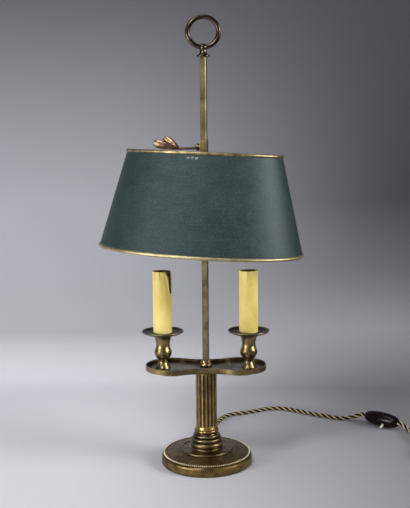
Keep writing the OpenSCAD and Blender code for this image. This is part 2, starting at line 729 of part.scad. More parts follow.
module bar_rivets() color(brass) in_shade()
    for (side = [0, 180], x = rivet_x) rotate([0, 0, side])
        translate([x, -inside_b(bar_drop) - sheet_t, -bar_drop]) rotate([-flare_angle, 0, 0])
            translate([0, 0, -tab_h / 2]) rivet();

module shade_slide() color(brass) with_rod() difference() {
    union() {
        translate([-slide_side / 2, -slide_side / 2, slide_bottom_z]) cube([slide_side, slide_side, slide_h]);
        translate([-slide_side / 2, 0, key_z]) rotate([0, -90, 0]) cylinder(r = 4, h = key_boss_t);
    }
    translate([-rod_side / 2 - fit, -rod_side / 2 - fit, slide_bottom_z - 1])
        cube([rod_side + 2 * fit, rod_side + 2 * fit, slide_h + 2]);
    translate([0, 0, key_z]) rotate([0, -90, 0])
        cylinder(r = key_screw_r + fit / 2, h = slide_side, $fn = 32);
}

// ---------- thumb key ----------

module along_key(x) with_rod() translate([-x, 0, key_z]) rotate([0, -90, 0]) children();

module key_screw() color(bronze) {
    start = rod_side / 2 + 2 * fit;
    along_key(start) cylinder(r = key_screw_r, h = key_collar_x - start + 1, $fn = 32);
    along_key(key_collar_x) rotate_extrude() polygon([
        [0, 0], [key_collar_r - 1.4, 0], [key_collar_r, 1.3], [key_collar_r, key_collar_t - 1.6],
        [key_collar_r - 1.6, key_collar_t - 0.6], [2.4, key_collar_t], [0, key_collar_t]
    ]);
}

// One petal of the key's leaf, from the stem to its tip. Local Z runs out along the key,
// local X is up. Each bulge is [up, sideways, out, half height].
module petal(root, near, far, tip) hull() {
    translate(root) sphere(r = 1.5, $fn = 16);
    for (bulge = [near, far]) translate([bulge[0], bulge[1], bulge[2]])
        scale([1, petal_t / bulge[3], 1.2]) sphere(r = bulge[3], $fn = 20);
    translate(tip) sphere(r = 1, $fn = 12);
}

module key_leaf() color(bronze) {
    along_key(key_stem_x) cylinder(r1 = 2.2, r2 = 1.8, h = key_stem * 0.4, $fn = 24);
    along_key(key_stem_x + key_stem * 0.4) cylinder(r1 = 1.8, r2 = 2.2, h = key_stem * 0.6 + 0.5, $fn = 24);
    along_key(key_leaf_x) {
        petal([-0.4, -0.3, -1], [0.2, -1.6, key_leaf_l * 0.3, 3.4], [4.2, -3.3, key_leaf_l * 0.74, 5.4],
            [6.4, -3.4, key_leaf_l - 1.2]);
        petal([0.1, 0.4, -1.3], [3.2, 1.7, key_leaf_l * 0.19, 3.4], [10.6, 3.4, key_leaf_l * 0.45, 4.5],
            [12.8, 3.6, key_leaf_l * 0.56]);
    }
}

// ---------- switch ----------

function olive(inset) = [
    for (k = [0 : 16]) let (x = switch_l / 2 * cos(180 * k / 16))
        [switch_end_r + (switch_r - switch_end_r) * sin(180 * k / 16) - inset,
         x * (1 - 2 * inset / switch_l)]
];

module olive_solid(inset) rotate([0, 90, 0]) rotate_extrude()
    polygon(concat(olive(inset), [[0, -switch_l / 2 + inset], [0, switch_l / 2 - inset]]));

// One half shell of the switch: side is 1 for the upper one and -1 for the lower one
module switch_half(side) color(bakelite) in_switch() difference() {
    olive_solid(0);
    difference() {
        olive_solid(switch_wall);
        for (x = screw_x) translate([x, 0, -switch_r]) cylinder(r = screw_boss_r, h = 2 * switch_r, $fn = 32);
    }
    translate([-switch_l, -switch_l, side > 0 ? -2 * switch_l : 0]) cube(2 * switch_l);
    translate([push_x, switch_l / 2, 0]) rotate([90, 0, 0])
        cylinder(r = push_r + fit, h = switch_l, $fn = 32);
    for (x = screw_x) translate([x, 0, 0]) {
        translate([0, 0, -switch_r]) cylinder(r = screw_r + fit, h = switch_r + screw_end, $fn = 24);
        translate([0, 0, -2 * switch_r])
            cylinder(r = screw_head_r + fit, h = 2 * switch_r - screw_start, $fn = 24);
    }
}

module switch_lower() switch_half(-1);

module switch_upper() switch_half(1);

module switch_screws() color(steel) in_switch() for (x = screw_x) translate([x, 0, -screw_start]) {
    cylinder(r = screw_r, h = screw_start + screw_end, $fn = 24);
    translate([0, 0, -screw_head_h]) cylinder(r = screw_head_r, h = screw_head_h, $fn = 24);
}

module switch_contacts() color(brass) in_switch() intersection() {
    olive_solid(switch_wall);
    for (side = [-1, 1]) translate([push_x + side * (push_r + 1) - contact_t / 2, -contact_w / 2, -switch_r])
        cube([contact_t, contact_w, switch_r + contact_up]);
}

module switch_push_bar() color(porcelain) in_switch() {
    l = 2 * switch_r + push_out + 1;
    translate([push_x, -switch_r - push_out, 0]) rotate([-90, 0, 0]) {
        translate([0, 0, 0.6]) cylinder(r = push_r, h = l - 1.2, $fn = 32);
        cylinder(r1 = push_r - 0.6, r2 = push_r, h = 0.6, $fn = 32);
        translate([0, 0, l - 0.6]) cylinder(r1 = push_r, r2 = push_r - 0.6, h = 0.6, $fn = 32);
    }
}

// ---------- cord ----------

module cord_lamp_side() color(cord_gold) tube(smooth_line(route_lamp_side, 2), cord_r, cord_sides);

module cord_plug_side() color(cord_gold) tube(smooth_line(route_plug_side, 2), cord_r, cord_sides);

// The coil winds inwards on the table and outwards again on top of itself
function coil_point(t) = let (
    in_turns = min(t, coil_turns - t),
    climb = min(max((t - coil_turns / 2) * 2 + 0.5, 0), 1),
    a = coil_start + 360 * t,
    r = coil_r - coil_pitch * in_turns
) [coil_at[0] + r * cos(a), coil_at[1] + r * sin(a), cord_z + coil_pitch * climb];

coil_turn_points = [for (i = [0 : coil_turns * coil_rings]) coil_point(i / coil_rings)];
coil_out = coil_turn_points[len(coil_turn_points) - 1];
coil_points = concat([coil_in - coil_dir * lead_in_l], coil_turn_points,
    [coil_out + coil_dir * tail_l / 2, coil_out + coil_dir * tail_l]);

function least_gap(p, apart) = min([
    for (i = [0 : len(p) - 1 - apart], j = [i + apart : len(p) - 1]) norm(p[i] - p[j])
]) - 2 * cord_r;

module cord_coil() color(cord_gold) {
    echo(least_gap_in_the_coil = least_gap(coil_turn_points, 12));
    tube(coil_points, cord_r, coil_sides);
}

// ---------- plug ----------

module plug_grip() color(bakelite) in_plug() rotate([0, 90, 0]) rotate_extrude()
    polygon([[0, 0], [cord_r + 0.8, 0], [cord_r + 2.6, grip_l - 2], [cord_r + 2.6, grip_l], [0, grip_l]]);

module plug_body() color(bakelite) in_plug() difference() {
    translate([grip_l, 0, 0]) intersection() {
        rotate([0, 90, 0]) rotate_extrude() polygon([
            [0, 0], [cord_r + 3.4, 0], [cord_r + 5, 1], [plug_w / 2 - 3, plug_l * 0.34],
            [plug_w / 2, plug_l * 0.5], [plug_w / 2, plug_l - 1.5], [plug_w / 2 - 1.5, plug_l], [0, plug_l]
        ]);
        translate([-1, -plug_w, -plug_half + 0.1]) cube([plug_l + 2, 2 * plug_w, 2 * plug_half - 0.2]);
    }
    for (side = [-1, 1]) translate([grip_l + plug_l - pin_root, side * pin_gap / 2, 0])
        rotate([0, 90, 0]) cylinder(r = pin_root_r, h = pin_root + 1, $fn = 32);
}

module plug_pins() color(steel) in_plug() for (side = [-1, 1])
    translate([grip_l + plug_l - pin_root, side * pin_gap / 2, 0]) rotate([0, 90, 0]) {
        cylinder(r = pin_root_r, h = pin_root + 1, $fn = 32);
        translate([0, 0, pin_root]) cylinder(r = pin_r, h = pin_l - pin_tip, $fn = 32);
        translate([0, 0, pin_root + pin_l - pin_tip])
            cylinder(r1 = pin_r, r2 = pin_r - 1, h = pin_tip, $fn = 32);
    }

foot_shell();
bead_border();
base_weight();
base_plate();
felt_pad();
cord_bushing();
terminal_block();
cord_inner();
tie_tube();
base_nut();
base_washer();
base_moulding();
column();
tray();
wire_cover();
cup_locknuts();
rod_socket();
rod();
finial_base();
finial_ring();
cup(-1);  // cup_left
cup(1);  // cup_right
drip_pan(-1);  // drip_pan_left
drip_pan(1);  // drip_pan_right
candle(-1, wax_left);  // candle_left
candle(1, wax_right);  // candle_right
nipple(-1);  // nipple_left
nipple(1);  // nipple_right
lampholder(-1);  // lampholder_left
lampholder(1);  // lampholder_right
screw_shells();
centre_contacts();
lead(-1);  // lead_left
lead(1);  // lead_right
shade_shell();
shade_rim_top();
shade_rim_bottom();
shade_bar();
bar_rivets();
shade_slide();
key_screw();
key_leaf();
switch_lower();
switch_upper();
switch_screws();
switch_contacts();
switch_push_bar();
cord_lamp_side();
cord_plug_side();
cord_coil();
plug_body();
plug_grip();
plug_pins();
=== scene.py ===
"""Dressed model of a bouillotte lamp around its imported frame.

An oval painted shade slides on a square brass rod. Two candle lights stand on a waisted tray,
over a fluted column and a beaded foot. A twisted cord leads to a push-bar switch and, wound up
for storage, to its plug. Sizes are in millimetres, if not said otherwise, and MM turns them into
metres where Blender takes them. +X right, +Y away from the viewer, +Z up.
"""

import logging
from dataclasses import dataclass, field
from enum import Enum
from math import asin, atan2, cos, degrees, exp, pi, radians, sin, tau
from typing import Any, Mapping, Sequence

import bmesh
import bpy
from bmesh.types import BMEdge, BMesh, BMVert
from bpy.types import Material, NodeSocket, Object
from mathutils import Matrix, Vector, noise


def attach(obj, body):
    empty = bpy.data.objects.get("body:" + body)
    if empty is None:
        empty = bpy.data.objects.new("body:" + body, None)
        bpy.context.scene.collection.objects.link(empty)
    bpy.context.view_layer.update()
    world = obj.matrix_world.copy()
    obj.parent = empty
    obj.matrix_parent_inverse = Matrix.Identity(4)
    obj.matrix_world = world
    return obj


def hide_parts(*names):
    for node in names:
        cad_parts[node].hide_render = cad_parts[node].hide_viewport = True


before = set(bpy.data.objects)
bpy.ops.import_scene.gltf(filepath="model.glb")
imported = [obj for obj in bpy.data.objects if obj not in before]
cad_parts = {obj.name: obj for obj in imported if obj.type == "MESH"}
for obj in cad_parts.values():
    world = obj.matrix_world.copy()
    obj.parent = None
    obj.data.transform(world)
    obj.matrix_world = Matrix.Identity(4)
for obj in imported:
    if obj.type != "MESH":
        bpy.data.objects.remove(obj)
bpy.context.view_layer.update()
LOG = logging.getLogger("lamp")
MM = 0.001
SAME_PLACE = 1e-6
RGBA = {"data_type": "RGBA"}
SMOOTH = {"interpolation_type": "SMOOTHSTEP"}

Point2 = tuple[float, float]
Point3 = tuple[float, float, float]
Outline = list[Sequence[float]]


# ---------- finishes ----------

def linear(hex_text: str) -> tuple[float, float, float, float]:
    """Turns an sRGB hex colour into linear light.

    Args:
        hex_text: the colour, such as "#8F7A4C".

    Returns:
        Red, green, blue and an alpha of 1.
    """
    channels = [int(hex_text[i:i + 2], 16) / 255 for i in (1, 3, 5)]
    red, green, blue = (c / 12.92 if c <= 0.04045 else ((c + 0.055) / 1.055) ** 2.4 for c in channels)
    return red, green, blue, 1.0


class NodeBench:
    """A node tree, with the one way in which this script adds nodes to it."""

    def __init__(self, tree: bpy.types.NodeTree) -> None:
        """Takes the tree that it adds to."""
        self.tree = tree

    def put(self, kind: str, feeds: Mapping[Any, Any] | Sequence[Any] = (),
            settings: Mapping[str, Any] | None = None, out: int | str = 0) -> NodeSocket:
        """Adds a node with its settings and links.

        Args:
            kind: Blender's name of the node type.
            feeds: what the inputs get, by their name or number, or in their order.
            settings: attributes of the node and their values.
            out: the name or number of the output that is wanted.

        Returns:
            That output of the new node.
        """
        node = self.tree.nodes.new(kind)
        for name, value in (settings or {}).items():
            setattr(node, name, value)
        for name, value in feeds.items() if isinstance(feeds, Mapping) else enumerate(feeds):
            self.feed(node.inputs[name], value)
        return node.outputs[out]

    def feed(self, socket: NodeSocket, value: Any) -> None:
        """Links an output socket to an input, or sets the input to a hex colour or a plain value."""
        if isinstance(value, NodeSocket):
            self.tree.links.new(value, socket)
        else:
            socket.default_value = linear(value) if isinstance(value, str) else value


class Bench(NodeBench):
    """One material's nodes, with its shader and its object coordinates ready."""

    def __init__(self, name: str) -> None:
        """Starts an empty material of that name."""
        self.material = bpy.data.materials.new(name)
        self.material.use_nodes = True
        super().__init__(self.material.node_tree)
        self.shader = self.tree.nodes["Principled BSDF"]
        self.place = self.put("ShaderNodeTexCoord", out="Object")

    def dress(self, **feeds: Any) -> Material:
        """Feeds the shader's inputs, given by name with _ for a space, and returns the material."""
        for name, value in feeds.items():
            self.feed(self.shader.inputs[name.replace("_", " ")], value)
        return self.material


@dataclass(frozen=True)
class AgedBrass:
    """Cast and turned brass, chemically browned, then rubbed back by hand.

    The eye sees an olive-gold metal with clouds of brown, and dark grooves: the browning that stays
    in the hollows, with painted shade where grooves and gaps between parts lie in shadow. A piece may
    also have a tone of its own on what lies level, the dark of the browning towards the upright axis,
    as deep in flutes, and a rubbed lip whose pale tone is also a painted highlight.
    """
    name: str
    body: str = "#A3905F"
    brown: str = "#6C5A3C"
    patina_and_shade: str = "#221A10"
    worn: str = "#8B7F62"
    level_tone: str | None = None
    roughness: float = 0.3
    uneven: Point2 = (-0.08, 0.12)
    cloud_mm: float = 22.0
    cloud_span: Point2 = (0.36, 0.66)
    level_span: Point2 = (0.55, 0.9)
    groove_mm: float = 5.0
    groove_span: Point2 = (0.4, 0.92)
    groove_depth: float = 0.8
    flute_mm: Point2 | None = None
    flute_depth: float = 0.9
    lip_mm: Point2 | None = None
    lip_rub: float = 0.42
    grain_mm: float = 1.4
    grain_depth_mm: float = 0.15
    lacquer: float = 0.25

    def make(self) -> Material:
        """Builds the material."""
        bench = Bench(self.name)
        cloud = bench.put("ShaderNodeTexNoise", {
            "Vector": bench.place, "Scale": 1 / (self.cloud_mm * MM), "Detail": 5.0,
            "Roughness": 0.62}, out="Fac")
        clouds = bench.put("ShaderNodeMapRange", (cloud, *self.cloud_span))
        tone = bench.put("ShaderNodeMix", {0: clouds, 6: self.body, 7: self.brown}, RGBA, 2)
        # Faces that look up take a tone of their own: a paler grey on the tray, a darker grey in the pans.
        if self.level_tone:
            normal = bench.put("ShaderNodeNewGeometry", out="Normal")
            facing = bench.put("ShaderNodeSeparateXYZ", (normal,), out="Z")
            level = bench.put("ShaderNodeMapRange", (facing, *self.level_span))
            level_toned = bench.put("ShaderNodeMix", {0: clouds, 6: self.level_tone, 7: self.brown}, RGBA, 2)
            tone = bench.put("ShaderNodeMix", {0: level, 6: tone, 7: level_toned}, RGBA, 2)
        # Grooves and gaps go dark here: browning that stays in the hollows, and painted shade where they lie
        # in shadow.
        open_sky = bench.put("ShaderNodeAmbientOcclusion", {
            "Distance": self.groove_mm * MM}, {"samples": 8}, "AO")
        groove = bench.put("ShaderNodeMapRange", (open_sky, *self.groove_span, self.groove_depth, 0.0))
        tone = bench.put("ShaderNodeMix", {0: groove, 6: tone, 7: self.patina_and_shade}, RGBA, 2)
        if self.flute_mm:
            core, skin = self.flute_mm
            flat = bench.put("ShaderNodeVectorMath", (bench.place, (1, 1, 0)), {"operation": "MULTIPLY"})
            across = bench.put("ShaderNodeVectorMath", (flat,), {"operation": "LENGTH"}, "Value")
            flute = bench.put("ShaderNodeMapRange", (across, core * MM, skin * MM, self.flute_depth, 0.0))
            tone = bench.put("ShaderNodeMix", {0: flute, 6: tone, 7: self.patina_and_shade}, RGBA, 2)
        grain = bench.put("ShaderNodeTexNoise", {
            "Vector": bench.place, "Scale": 1 / (self.grain_mm * MM), "Detail": 3.0}, out="Fac")
        # The lip band's pale tone is rubbed brass and a painted highlight together.
        if self.lip_mm:
            low, high = self.lip_mm
            up = bench.put("ShaderNodeSeparateXYZ", (bench.place,), out="Z")
            lip = bench.put("ShaderNodeMapRange", (up, low * MM, high * MM))
            patchy = bench.put("ShaderNodeMath", (grain, self.lip_rub), {"operation": "ADD"})
            rubbed = bench.put("ShaderNodeMath", (lip, patchy), {"operation": "MULTIPLY", "use_clamp": True})
            tone = bench.put("ShaderNodeMix", {0: rubbed, 6: tone, 7: self.worn}, RGBA, 2)
        glossy, dull = self.roughness + self.uneven[0], self.roughness + self.uneven[1]
        rough = bench.put("ShaderNodeMapRange", {"Value": grain, "To Min": glossy, "To Max": dull})
        bump = bench.put("ShaderNodeBump", {
            "Height": grain, "Strength": 0.25, "Distance": self.grain_depth_mm * MM})
        return bench.dress(Base_Color=tone, Metallic=1.0, Roughness=rough, Normal=bump,
                           Coat_Weight=self.lacquer, Coat_Roughness=0.2)


@dataclass(frozen=True)
class ToleShadePaint:
    """Dark green paint on sheet metal, brushed on by hand and gone dull.

    The eye sees a grey-green with lighter and darker clouds, faint brush streaks that run round
    the shade, and fine specks, some pale and some dark.
    """
    name: str = "tole_green_paint"
    green: str = "#1C292A"
    dark: str = "#131C1D"
    pale: str = "#2C3C3D"
    speck: str = "#4E6365"
    gloss: str = "#E2F3F4"
    ior: float = 1.48
    roughness: Point2 = (0.44, 0.6)
    cloud_mm: float = 22.0
    streak_mm: float = 1.6
    streak_depth_mm: float = 0.2
    streak_squeeze: Point3 = (0.06, 0.06, 1.0)
    speck_mm: float = 1.2

    def make(self) -> Material:
        """Builds the material, one layer over the other."""
        bench = Bench(self.name)
        brushing = bench.put("ShaderNodeMapping", {"Vector": bench.place, "Scale": self.streak_squeeze})
        cloud, streak, specks = (
            bench.put("ShaderNodeTexNoise", {
                "Vector": place, "Scale": 1 / (size * MM), "Detail": detail, "Roughness": rough}, out="Fac")
            for place, size, detail, rough in (
                (bench.place, self.cloud_mm, 6.0, 0.65), (brushing, self.streak_mm, 4.0, 0.5),
                (bench.place, self.speck_mm, 2.0, 0.5)))
        tone: NodeSocket | str = self.green
        # Of each layer: its pattern, the part of it that shows, how strongly at both ends, its tone
        for pattern, part, strength, over in (
                (cloud, (0.3, 0.52), (0.85, 0.0), self.dark), (cloud, (0.5, 0.74), (0.0, 0.8), self.pale),
                (streak, (0.35, 0.7), (0.0, 0.4), self.pale), (specks, (0.5, 0.78), (0.0, 0.42), self.speck),
                (specks, (0.3, 0.46), (0.6, 0.0), self.dark)):
            layer = bench.put("ShaderNodeMapRange", (pattern, *part, *strength))
            tone = bench.put("ShaderNodeMix", {0: layer, 6: tone, 7: over}, RGBA, 2)
        rough = bench.put("ShaderNodeMapRange", {
            "Value": cloud, "To Min": self.roughness[0], "To Max": self.roughness[1]})
        bump = bench.put("ShaderNodeBump", {
            "Height": streak, "Strength": 0.3, "Distance": self.streak_depth_mm * MM})
        return bench.dress(Base_Color=tone, Roughness=rough, Normal=bump, IOR=self.ior,
                           Specular_Tint=self.gloss)


@dataclass(frozen=True)
class MottledFinish:
    """A plain material with two tones that mix in clouds, and a fine surface grain.

    It serves the enamel, the wax card, the porcelain, the moulded resins, the rubber, the cast
    iron, the felt and the steel, each with its own colours, gloss and real sizes.
    """
    name: str
    tone: str
    second: str
    roughness: float
    cloud_mm: float
    grain_mm: float
    grain_depth_mm: float = 0.05
    metallic: float = 0.0
    ior: float = 1.5
    coat: float = 0.0
    sheen: float = 0.0
    soft: float = 0.0
    soft_mm: Point3 = (6.0, 4.0, 1.5)
    stretch: Point3 = (1.0, 1.0, 1.0)
    cloud_span: Point2 = (0.35, 0.68)

    def make(self) -> Material:
        """Builds the material."""
        bench = Bench(self.name)
        place = bench.put("ShaderNodeMapping", {"Vector": bench.place, "Scale": self.stretch})
        cloud, grain = (
            bench.put("ShaderNodeTexNoise", {
                "Vector": place, "Scale": 1 / (size * MM), "Detail": detail}, out="Fac")
            for size, detail in ((self.cloud_mm, 4.0), (self.grain_mm, 3.0)))
        clouds = bench.put("ShaderNodeMapRange", (cloud, *self.cloud_span))
        tone = bench.put("ShaderNodeMix", {0: clouds, 6: self.tone, 7: self.second}, RGBA, 2)
        rough = bench.put("ShaderNodeMapRange", {
            "Value": grain, "To Min": self.roughness * 0.8, "To Max": self.roughness * 1.2})
        bump = bench.put("ShaderNodeBump", {
            "Height": grain, "Strength": 0.4, "Distance": self.grain_depth_mm * MM})
        bench.dress(Base_Color=tone, Metallic=self.metallic, Roughness=rough, Normal=bump, IOR=self.ior)
        if self.coat:
            bench.dress(Coat_Weight=self.coat, Coat_Roughness=0.08)
        if self.sheen:
            bench.dress(Sheen_Weight=self.sheen, Sheen_Roughness=0.5)
        if self.soft:
            bench.dress(Subsurface_Weight=self.soft, Subsurface_Scale=0.6,
                        Subsurface_Radius=[depth * MM for depth in self.soft_mm])
        return bench.material


@dataclass(frozen=True)
class SilkStrand:
    """One covered strand of the cord: silk thread wound round it at a slant.

    The eye sees a soft sheen and fine ridges across the strand, with painted shade, a darker tone, in
    the hollows between the threads. The thread is drawn coarser than the real 0.2 mm, so that it shows.
    """
    name: str
    thread: str
    hollow_shade: str
    thread_mm: float = 0.7
    thread_depth_mm: float = 0.15
    sheen: float = 0.3

    def make(self) -> Material:
        """Builds the material. Its UV map runs in millimetres along the strand and once round it."""
        bench = Bench(self.name)
        run = bench.put("ShaderNodeTexCoord", out="UV")
        slant = bench.put("ShaderNodeMapping", {"Vector": run, "Scale": (1 / self.thread_mm, 2.0, 1.0)})
        wave = bench.put("ShaderNodeTexWave", {
            "Vector": slant, "Scale": 0.45, "Distortion": 1.2, "Detail": 2.0},
            {"bands_direction": "DIAGONAL"}, "Fac")
        tone = bench.put("ShaderNodeMix", {0: wave, 6: self.hollow_shade, 7: self.thread}, RGBA, 2)
        bump = bench.put("ShaderNodeBump", {
            "Height": wave, "Strength": 0.5, "Distance": self.thread_depth_mm * MM})
        return bench.dress(Base_Color=tone, Roughness=0.6, Normal=bump, Specular_IOR_Level=self.sheen,
                           Sheen_Weight=self.sheen, Sheen_Roughness=0.35)


class Finish(Enum):
    """Every finish of the lamp. Each of the record's slots has one or more of them."""
    BRASS = AgedBrass("aged_brass")
    MOULDED = AgedBrass(
        "aged_brass_moulding", "#8A7852", "#55462F", groove_mm=3.5, groove_depth=0.85, roughness=0.36)
    FLUTED = AgedBrass("aged_brass_fluted", "#BF9C5C", groove_mm=3.0, flute_mm=(13.6, 14.7))
    ROD = AgedBrass("aged_brass_rod", "#8A7B5A", "#57482F", roughness=0.34, cloud_mm=16.0)
    # The foot's deep grooves paint the shade under its beads.
    FOOT = AgedBrass(
        "aged_brass_foot", "#87703F", "#46371F", roughness=0.44, cloud_mm=13.0, groove_mm=4.0,
        groove_depth=1.0)
    # The beads' pale body is a painted highlight, the light that their tops catch; their short grooves paint
    # shade in the gaps between them.
    BEADS = AgedBrass(
        "brass_beads_painted_highlight", "#F2E8C8", "#D6C393", roughness=0.36, groove_mm=0.8, groove_depth=0.9)
    # The finial's dark body is painted shade, a darker copy of the brass for the dark room that it reflects.
    FINIAL = AgedBrass("brass_finial_painted_shade", "#5C4C3B", "#2C231B", roughness=0.22, groove_mm=4.0)
    # The rims are two copies of one brass: the low rim's pale, even body is a painted reflection of the pale
    # floor below it.
    TOP_RIM = AgedBrass(
        "aged_brass_top_rim", "#BBAA7C", "#65573A", cloud_mm=10.0, roughness=0.42, groove_mm=1.2)
    LOW_RIM = AgedBrass(
        "brass_low_rim_painted_reflection", "#C9BC8E", "#A0926A", cloud_mm=20.0, roughness=0.45, groove_mm=1.2)
    # The tray's wide groove reach paints shade on its inner walls.
    TRAY = AgedBrass(
        "browned_brass_tray", "#9C8858", "#4E412C", "#1E1811", level_tone="#B2AA9C", roughness=0.34, cloud_mm=24.0,
        groove_mm=8.0, groove_depth=0.85)
    # The pan's lip band is rubbed and carries a painted highlight.
    PAN = AgedBrass(
        "browned_brass_pan", "#7E6F4C", "#3F372A", level_tone="#3D392F", roughness=0.36, cloud_mm=11.0,
        lip_mm=(186.4, 187.6))
    BRONZE = AgedBrass(
        "cast_bronze", "#A08466", "#4E392B", "#3E2E26", roughness=0.33, cloud_mm=4.0, groove_mm=3.5,
        groove_depth=0.95, flute_mm=(30.0, 45.0))
    LACQUERED = AgedBrass("bright_brass_inside", "#B79A5C", "#8C7040", roughness=0.34)
    TOLE = ToleShadePaint()
    ENAMEL = MottledFinish("cream_enamel_inside", "#DED6BE", "#CFC4A5", 0.42, 30.0, 1.2)
    WAX = MottledFinish(
        "waxed_card", "#F6E08C", "#E9CB68", 0.42, 16.0, 2.4, 0.12, ior=1.44, soft=0.18,
        stretch=(1.0, 1.0, 0.45))
    # The sleeve's inside is painted shade: a dark tone for a bore that lies in shadow.
    SHADED_CARD = MottledFinish("card_inside_painted_shade", "#6B5A34", "#3A2F1C", 0.8, 5.0, 0.8)
    PORCELAIN = MottledFinish("glazed_porcelain", "#E6E2D6", "#DAD5C4", 0.22, 14.0, 2.0, 0.03, coat=0.4)
    BAKELITE = MottledFinish("polished_bakelite", "#0D0607", "#170B0A", 0.24, 9.0, 1.5, 0.03, ior=1.3)
    TINNED = MottledFinish("dull_tinned_rivet", "#8E9690", "#4C5552", 0.45, 1.1, 0.4, metallic=0.5)
    RUBBER = MottledFinish("rubber_wire", "#16130F", "#241F1A", 0.6, 6.0, 0.8)
    STEEL = MottledFinish("turned_steel", "#8E8E8C", "#6E6E6C", 0.3, 6.0, 0.6, 0.04, metallic=1.0)
    IRON = MottledFinish("cast_iron", "#3A3836", "#2A2826", 0.6, 8.0, 1.1, 0.2, metallic=0.8)
    FELT = MottledFinish("wool_felt", "#26382D", "#1B2A21", 0.95, 4.0, 0.5, 0.3, sheen=0.4)
    GOLD_SILK = SilkStrand("gold_silk_strand", "#E6D3A6", "#A08658")
    DARK_SILK = SilkStrand("dark_silk_strand", "#120B07", "#070402", sheen=0.0)

    @property
    def material(self) -> Material:
        """The finish's material, built once."""
        return bpy.data.materials.get(self.value.name) or self.value.make()


# ---------- helpers for meshes ----------

def shift(x: float, y: float, z: float) -> Matrix:
    """The matrix of a move, given in millimetres."""
    return Matrix.Translation((x * MM, y * MM, z * MM))


def spun(angle: float, axis: str = "Z") -> Matrix:
    """The matrix of a turn about an axis, given in degrees."""
    return Matrix.Rotation(radians(angle), 4, axis)


def verts_in(geom: Sequence[Any]) -> list[BMVert]:
    """Picks the vertices out of an operator's result."""
    return [g for g in geom if isinstance(g, BMVert)]


def edges_at(verts: Sequence[BMVert]) -> list[BMEdge]:
    """Gives every edge that ends at one of the vertices."""
    return list({e for v in verts for e in v.link_edges})


def smoothed(name: str, bm: BMesh, materials: Sequence[Material]) -> Object:
    """Turns a bmesh into a named object at the origin, with smooth faces.

    Args:
        name: the object's name.
        bm: its mesh, which is freed.
        materials: its materials, in the order of the faces' material numbers.

    Returns:
        The new object.
    """
    mesh = bpy.data.meshes.new(name)
    bm.to_mesh(mesh)
    bm.free()
    for material in materials:
        mesh.materials.append(material)
    mesh.polygons.foreach_set("use_smooth", [True] * len(mesh.polygons))
    made = bpy.data.objects.new(name, mesh)
    bpy.context.scene.collection.objects.link(made)
    return made


def finished(name: str, bm: BMesh, finishes: Sequence[Finish], crease: float = 38.0,
             place: Matrix | None = None) -> Object:
    """Turns a bmesh into a dressed piece.

    Args:
        name: the piece's name.
        bm: its mesh, which is freed.
        finishes: its finishes, in the order of the faces' material numbers.
        crease: edges that bend more than this, in degrees, stay sharp.
        place: where the mesh goes before it becomes a piece at the origin.

    Returns:
        The new object.
    """
    if place is not None:
        bmesh.ops.transform(bm, matrix=place, verts=bm.verts)
    piece = smoothed(name, bm, [finish.material for finish in finishes])
    piece.data.set_sharp_from_angle(angle=radians(crease))
    return piece


def ride(piece: Object, body: str, slot: str, *nodes: str) -> None:
    """Fixes a piece to its body and hides the solids that it stands for.

    Args:
        piece: the piece.
        body: the name of the body that it moves with.
        slot: the record's name of its material; it is not used.
        nodes: the names of the solids, if there are any.
    """
    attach(piece, body)
    if nodes:
        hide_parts(*nodes)
    LOG.info("%s rides on %s, %d faces", piece.name, body, len(piece.data.polygons))


def smooth_run(points: Sequence[Sequence[float]], steps: int) -> list[Vector]:
    """Draws one smooth line through the points.

    Args:
        points: two or more points of the same size.
        steps: how many pieces lie between two points.

    Returns:
        The points of the line.
    """
    p = [Vector(point) for point in points]
    line = []
    for i in range(len(p) - 1):
        a, b, c, d = p[max(i - 1, 0)], p[i], p[i + 1], p[min(i + 2, len(p) - 1)]
        for j in range(steps):
            t = j / steps
            line.append(0.5 * (2 * b + (c - a) * t + (2 * a - 5 * b + 4 * c - d) * t * t
                               + (3 * b - a - 3 * c + d) * t ** 3))
    return line + [p[-1]]


def turn(outline: Sequence[Sequence[float]], steps: int) -> BMesh:
    """Turns an outline on the lathe, round the upright axis.

    Args:
        outline: radius and height of each point.
        steps: the number of steps of a full turn.

    Returns:
        The mesh of the turned shape.
    """
    bm = bmesh.new()
    chain = [bm.verts.new((r * MM, 0, z * MM)) for r, z in outline]
    edges = [bm.edges.new(pair) for pair in zip(chain, chain[1:])]
    bmesh.ops.spin(bm, geom=chain + edges, cent=(0, 0, 0), axis=(0, 0, 1), angle=tau, steps=steps,
                   use_merge=True)
    bmesh.ops.remove_doubles(bm, verts=bm.verts, dist=SAME_PLACE)
    bmesh.ops.recalc_face_normals(bm, faces=bm.faces)
    return bm


def oval_wall(half: Point2, outline: Sequence[Point3], steps: int) -> BMesh:
    """Draws a closed wall round an oval by extruding its edge again and again.

    Args:
        half: half length and half depth of the oval.
        outline: for each row, how much the oval spreads, how far the row stands off it along
            the oval's own normal, and its height.
        steps: the number of points round the oval.

    Returns:
        The mesh of the wall.
    """
    bm = bmesh.new()
    angle = bm.verts.layers.float.new("angle")
    verts = bmesh.ops.create_circle(bm, segments=steps, radius=1.0)["verts"]
    for v in verts:
        v[angle] = atan2(v.co.y, v.co.x)
    first = edges = edges_at(verts)
    for row, (spread, off, height) in enumerate(outline):
        if row:
            grown = bmesh.ops.extrude_edge_only(bm, edges=edges)["geom"]
            verts, edges = verts_in(grown), [g for g in grown if isinstance(g, BMEdge)]
        a, b = half[0] + spread, half[1] + spread
        for v in verts:
            u = v[angle]
            out = Vector((b * cos(u), a * sin(u), 0)).normalized() * off
            v.co = (Vector((a * cos(u), b * sin(u), height)) + out) * MM
    bmesh.ops.bridge_loops(bm, edges=edges + first)
    bmesh.ops.recalc_face_normals(bm, faces=bm.faces)
    return bm


# ---------- camera, light and room ----------

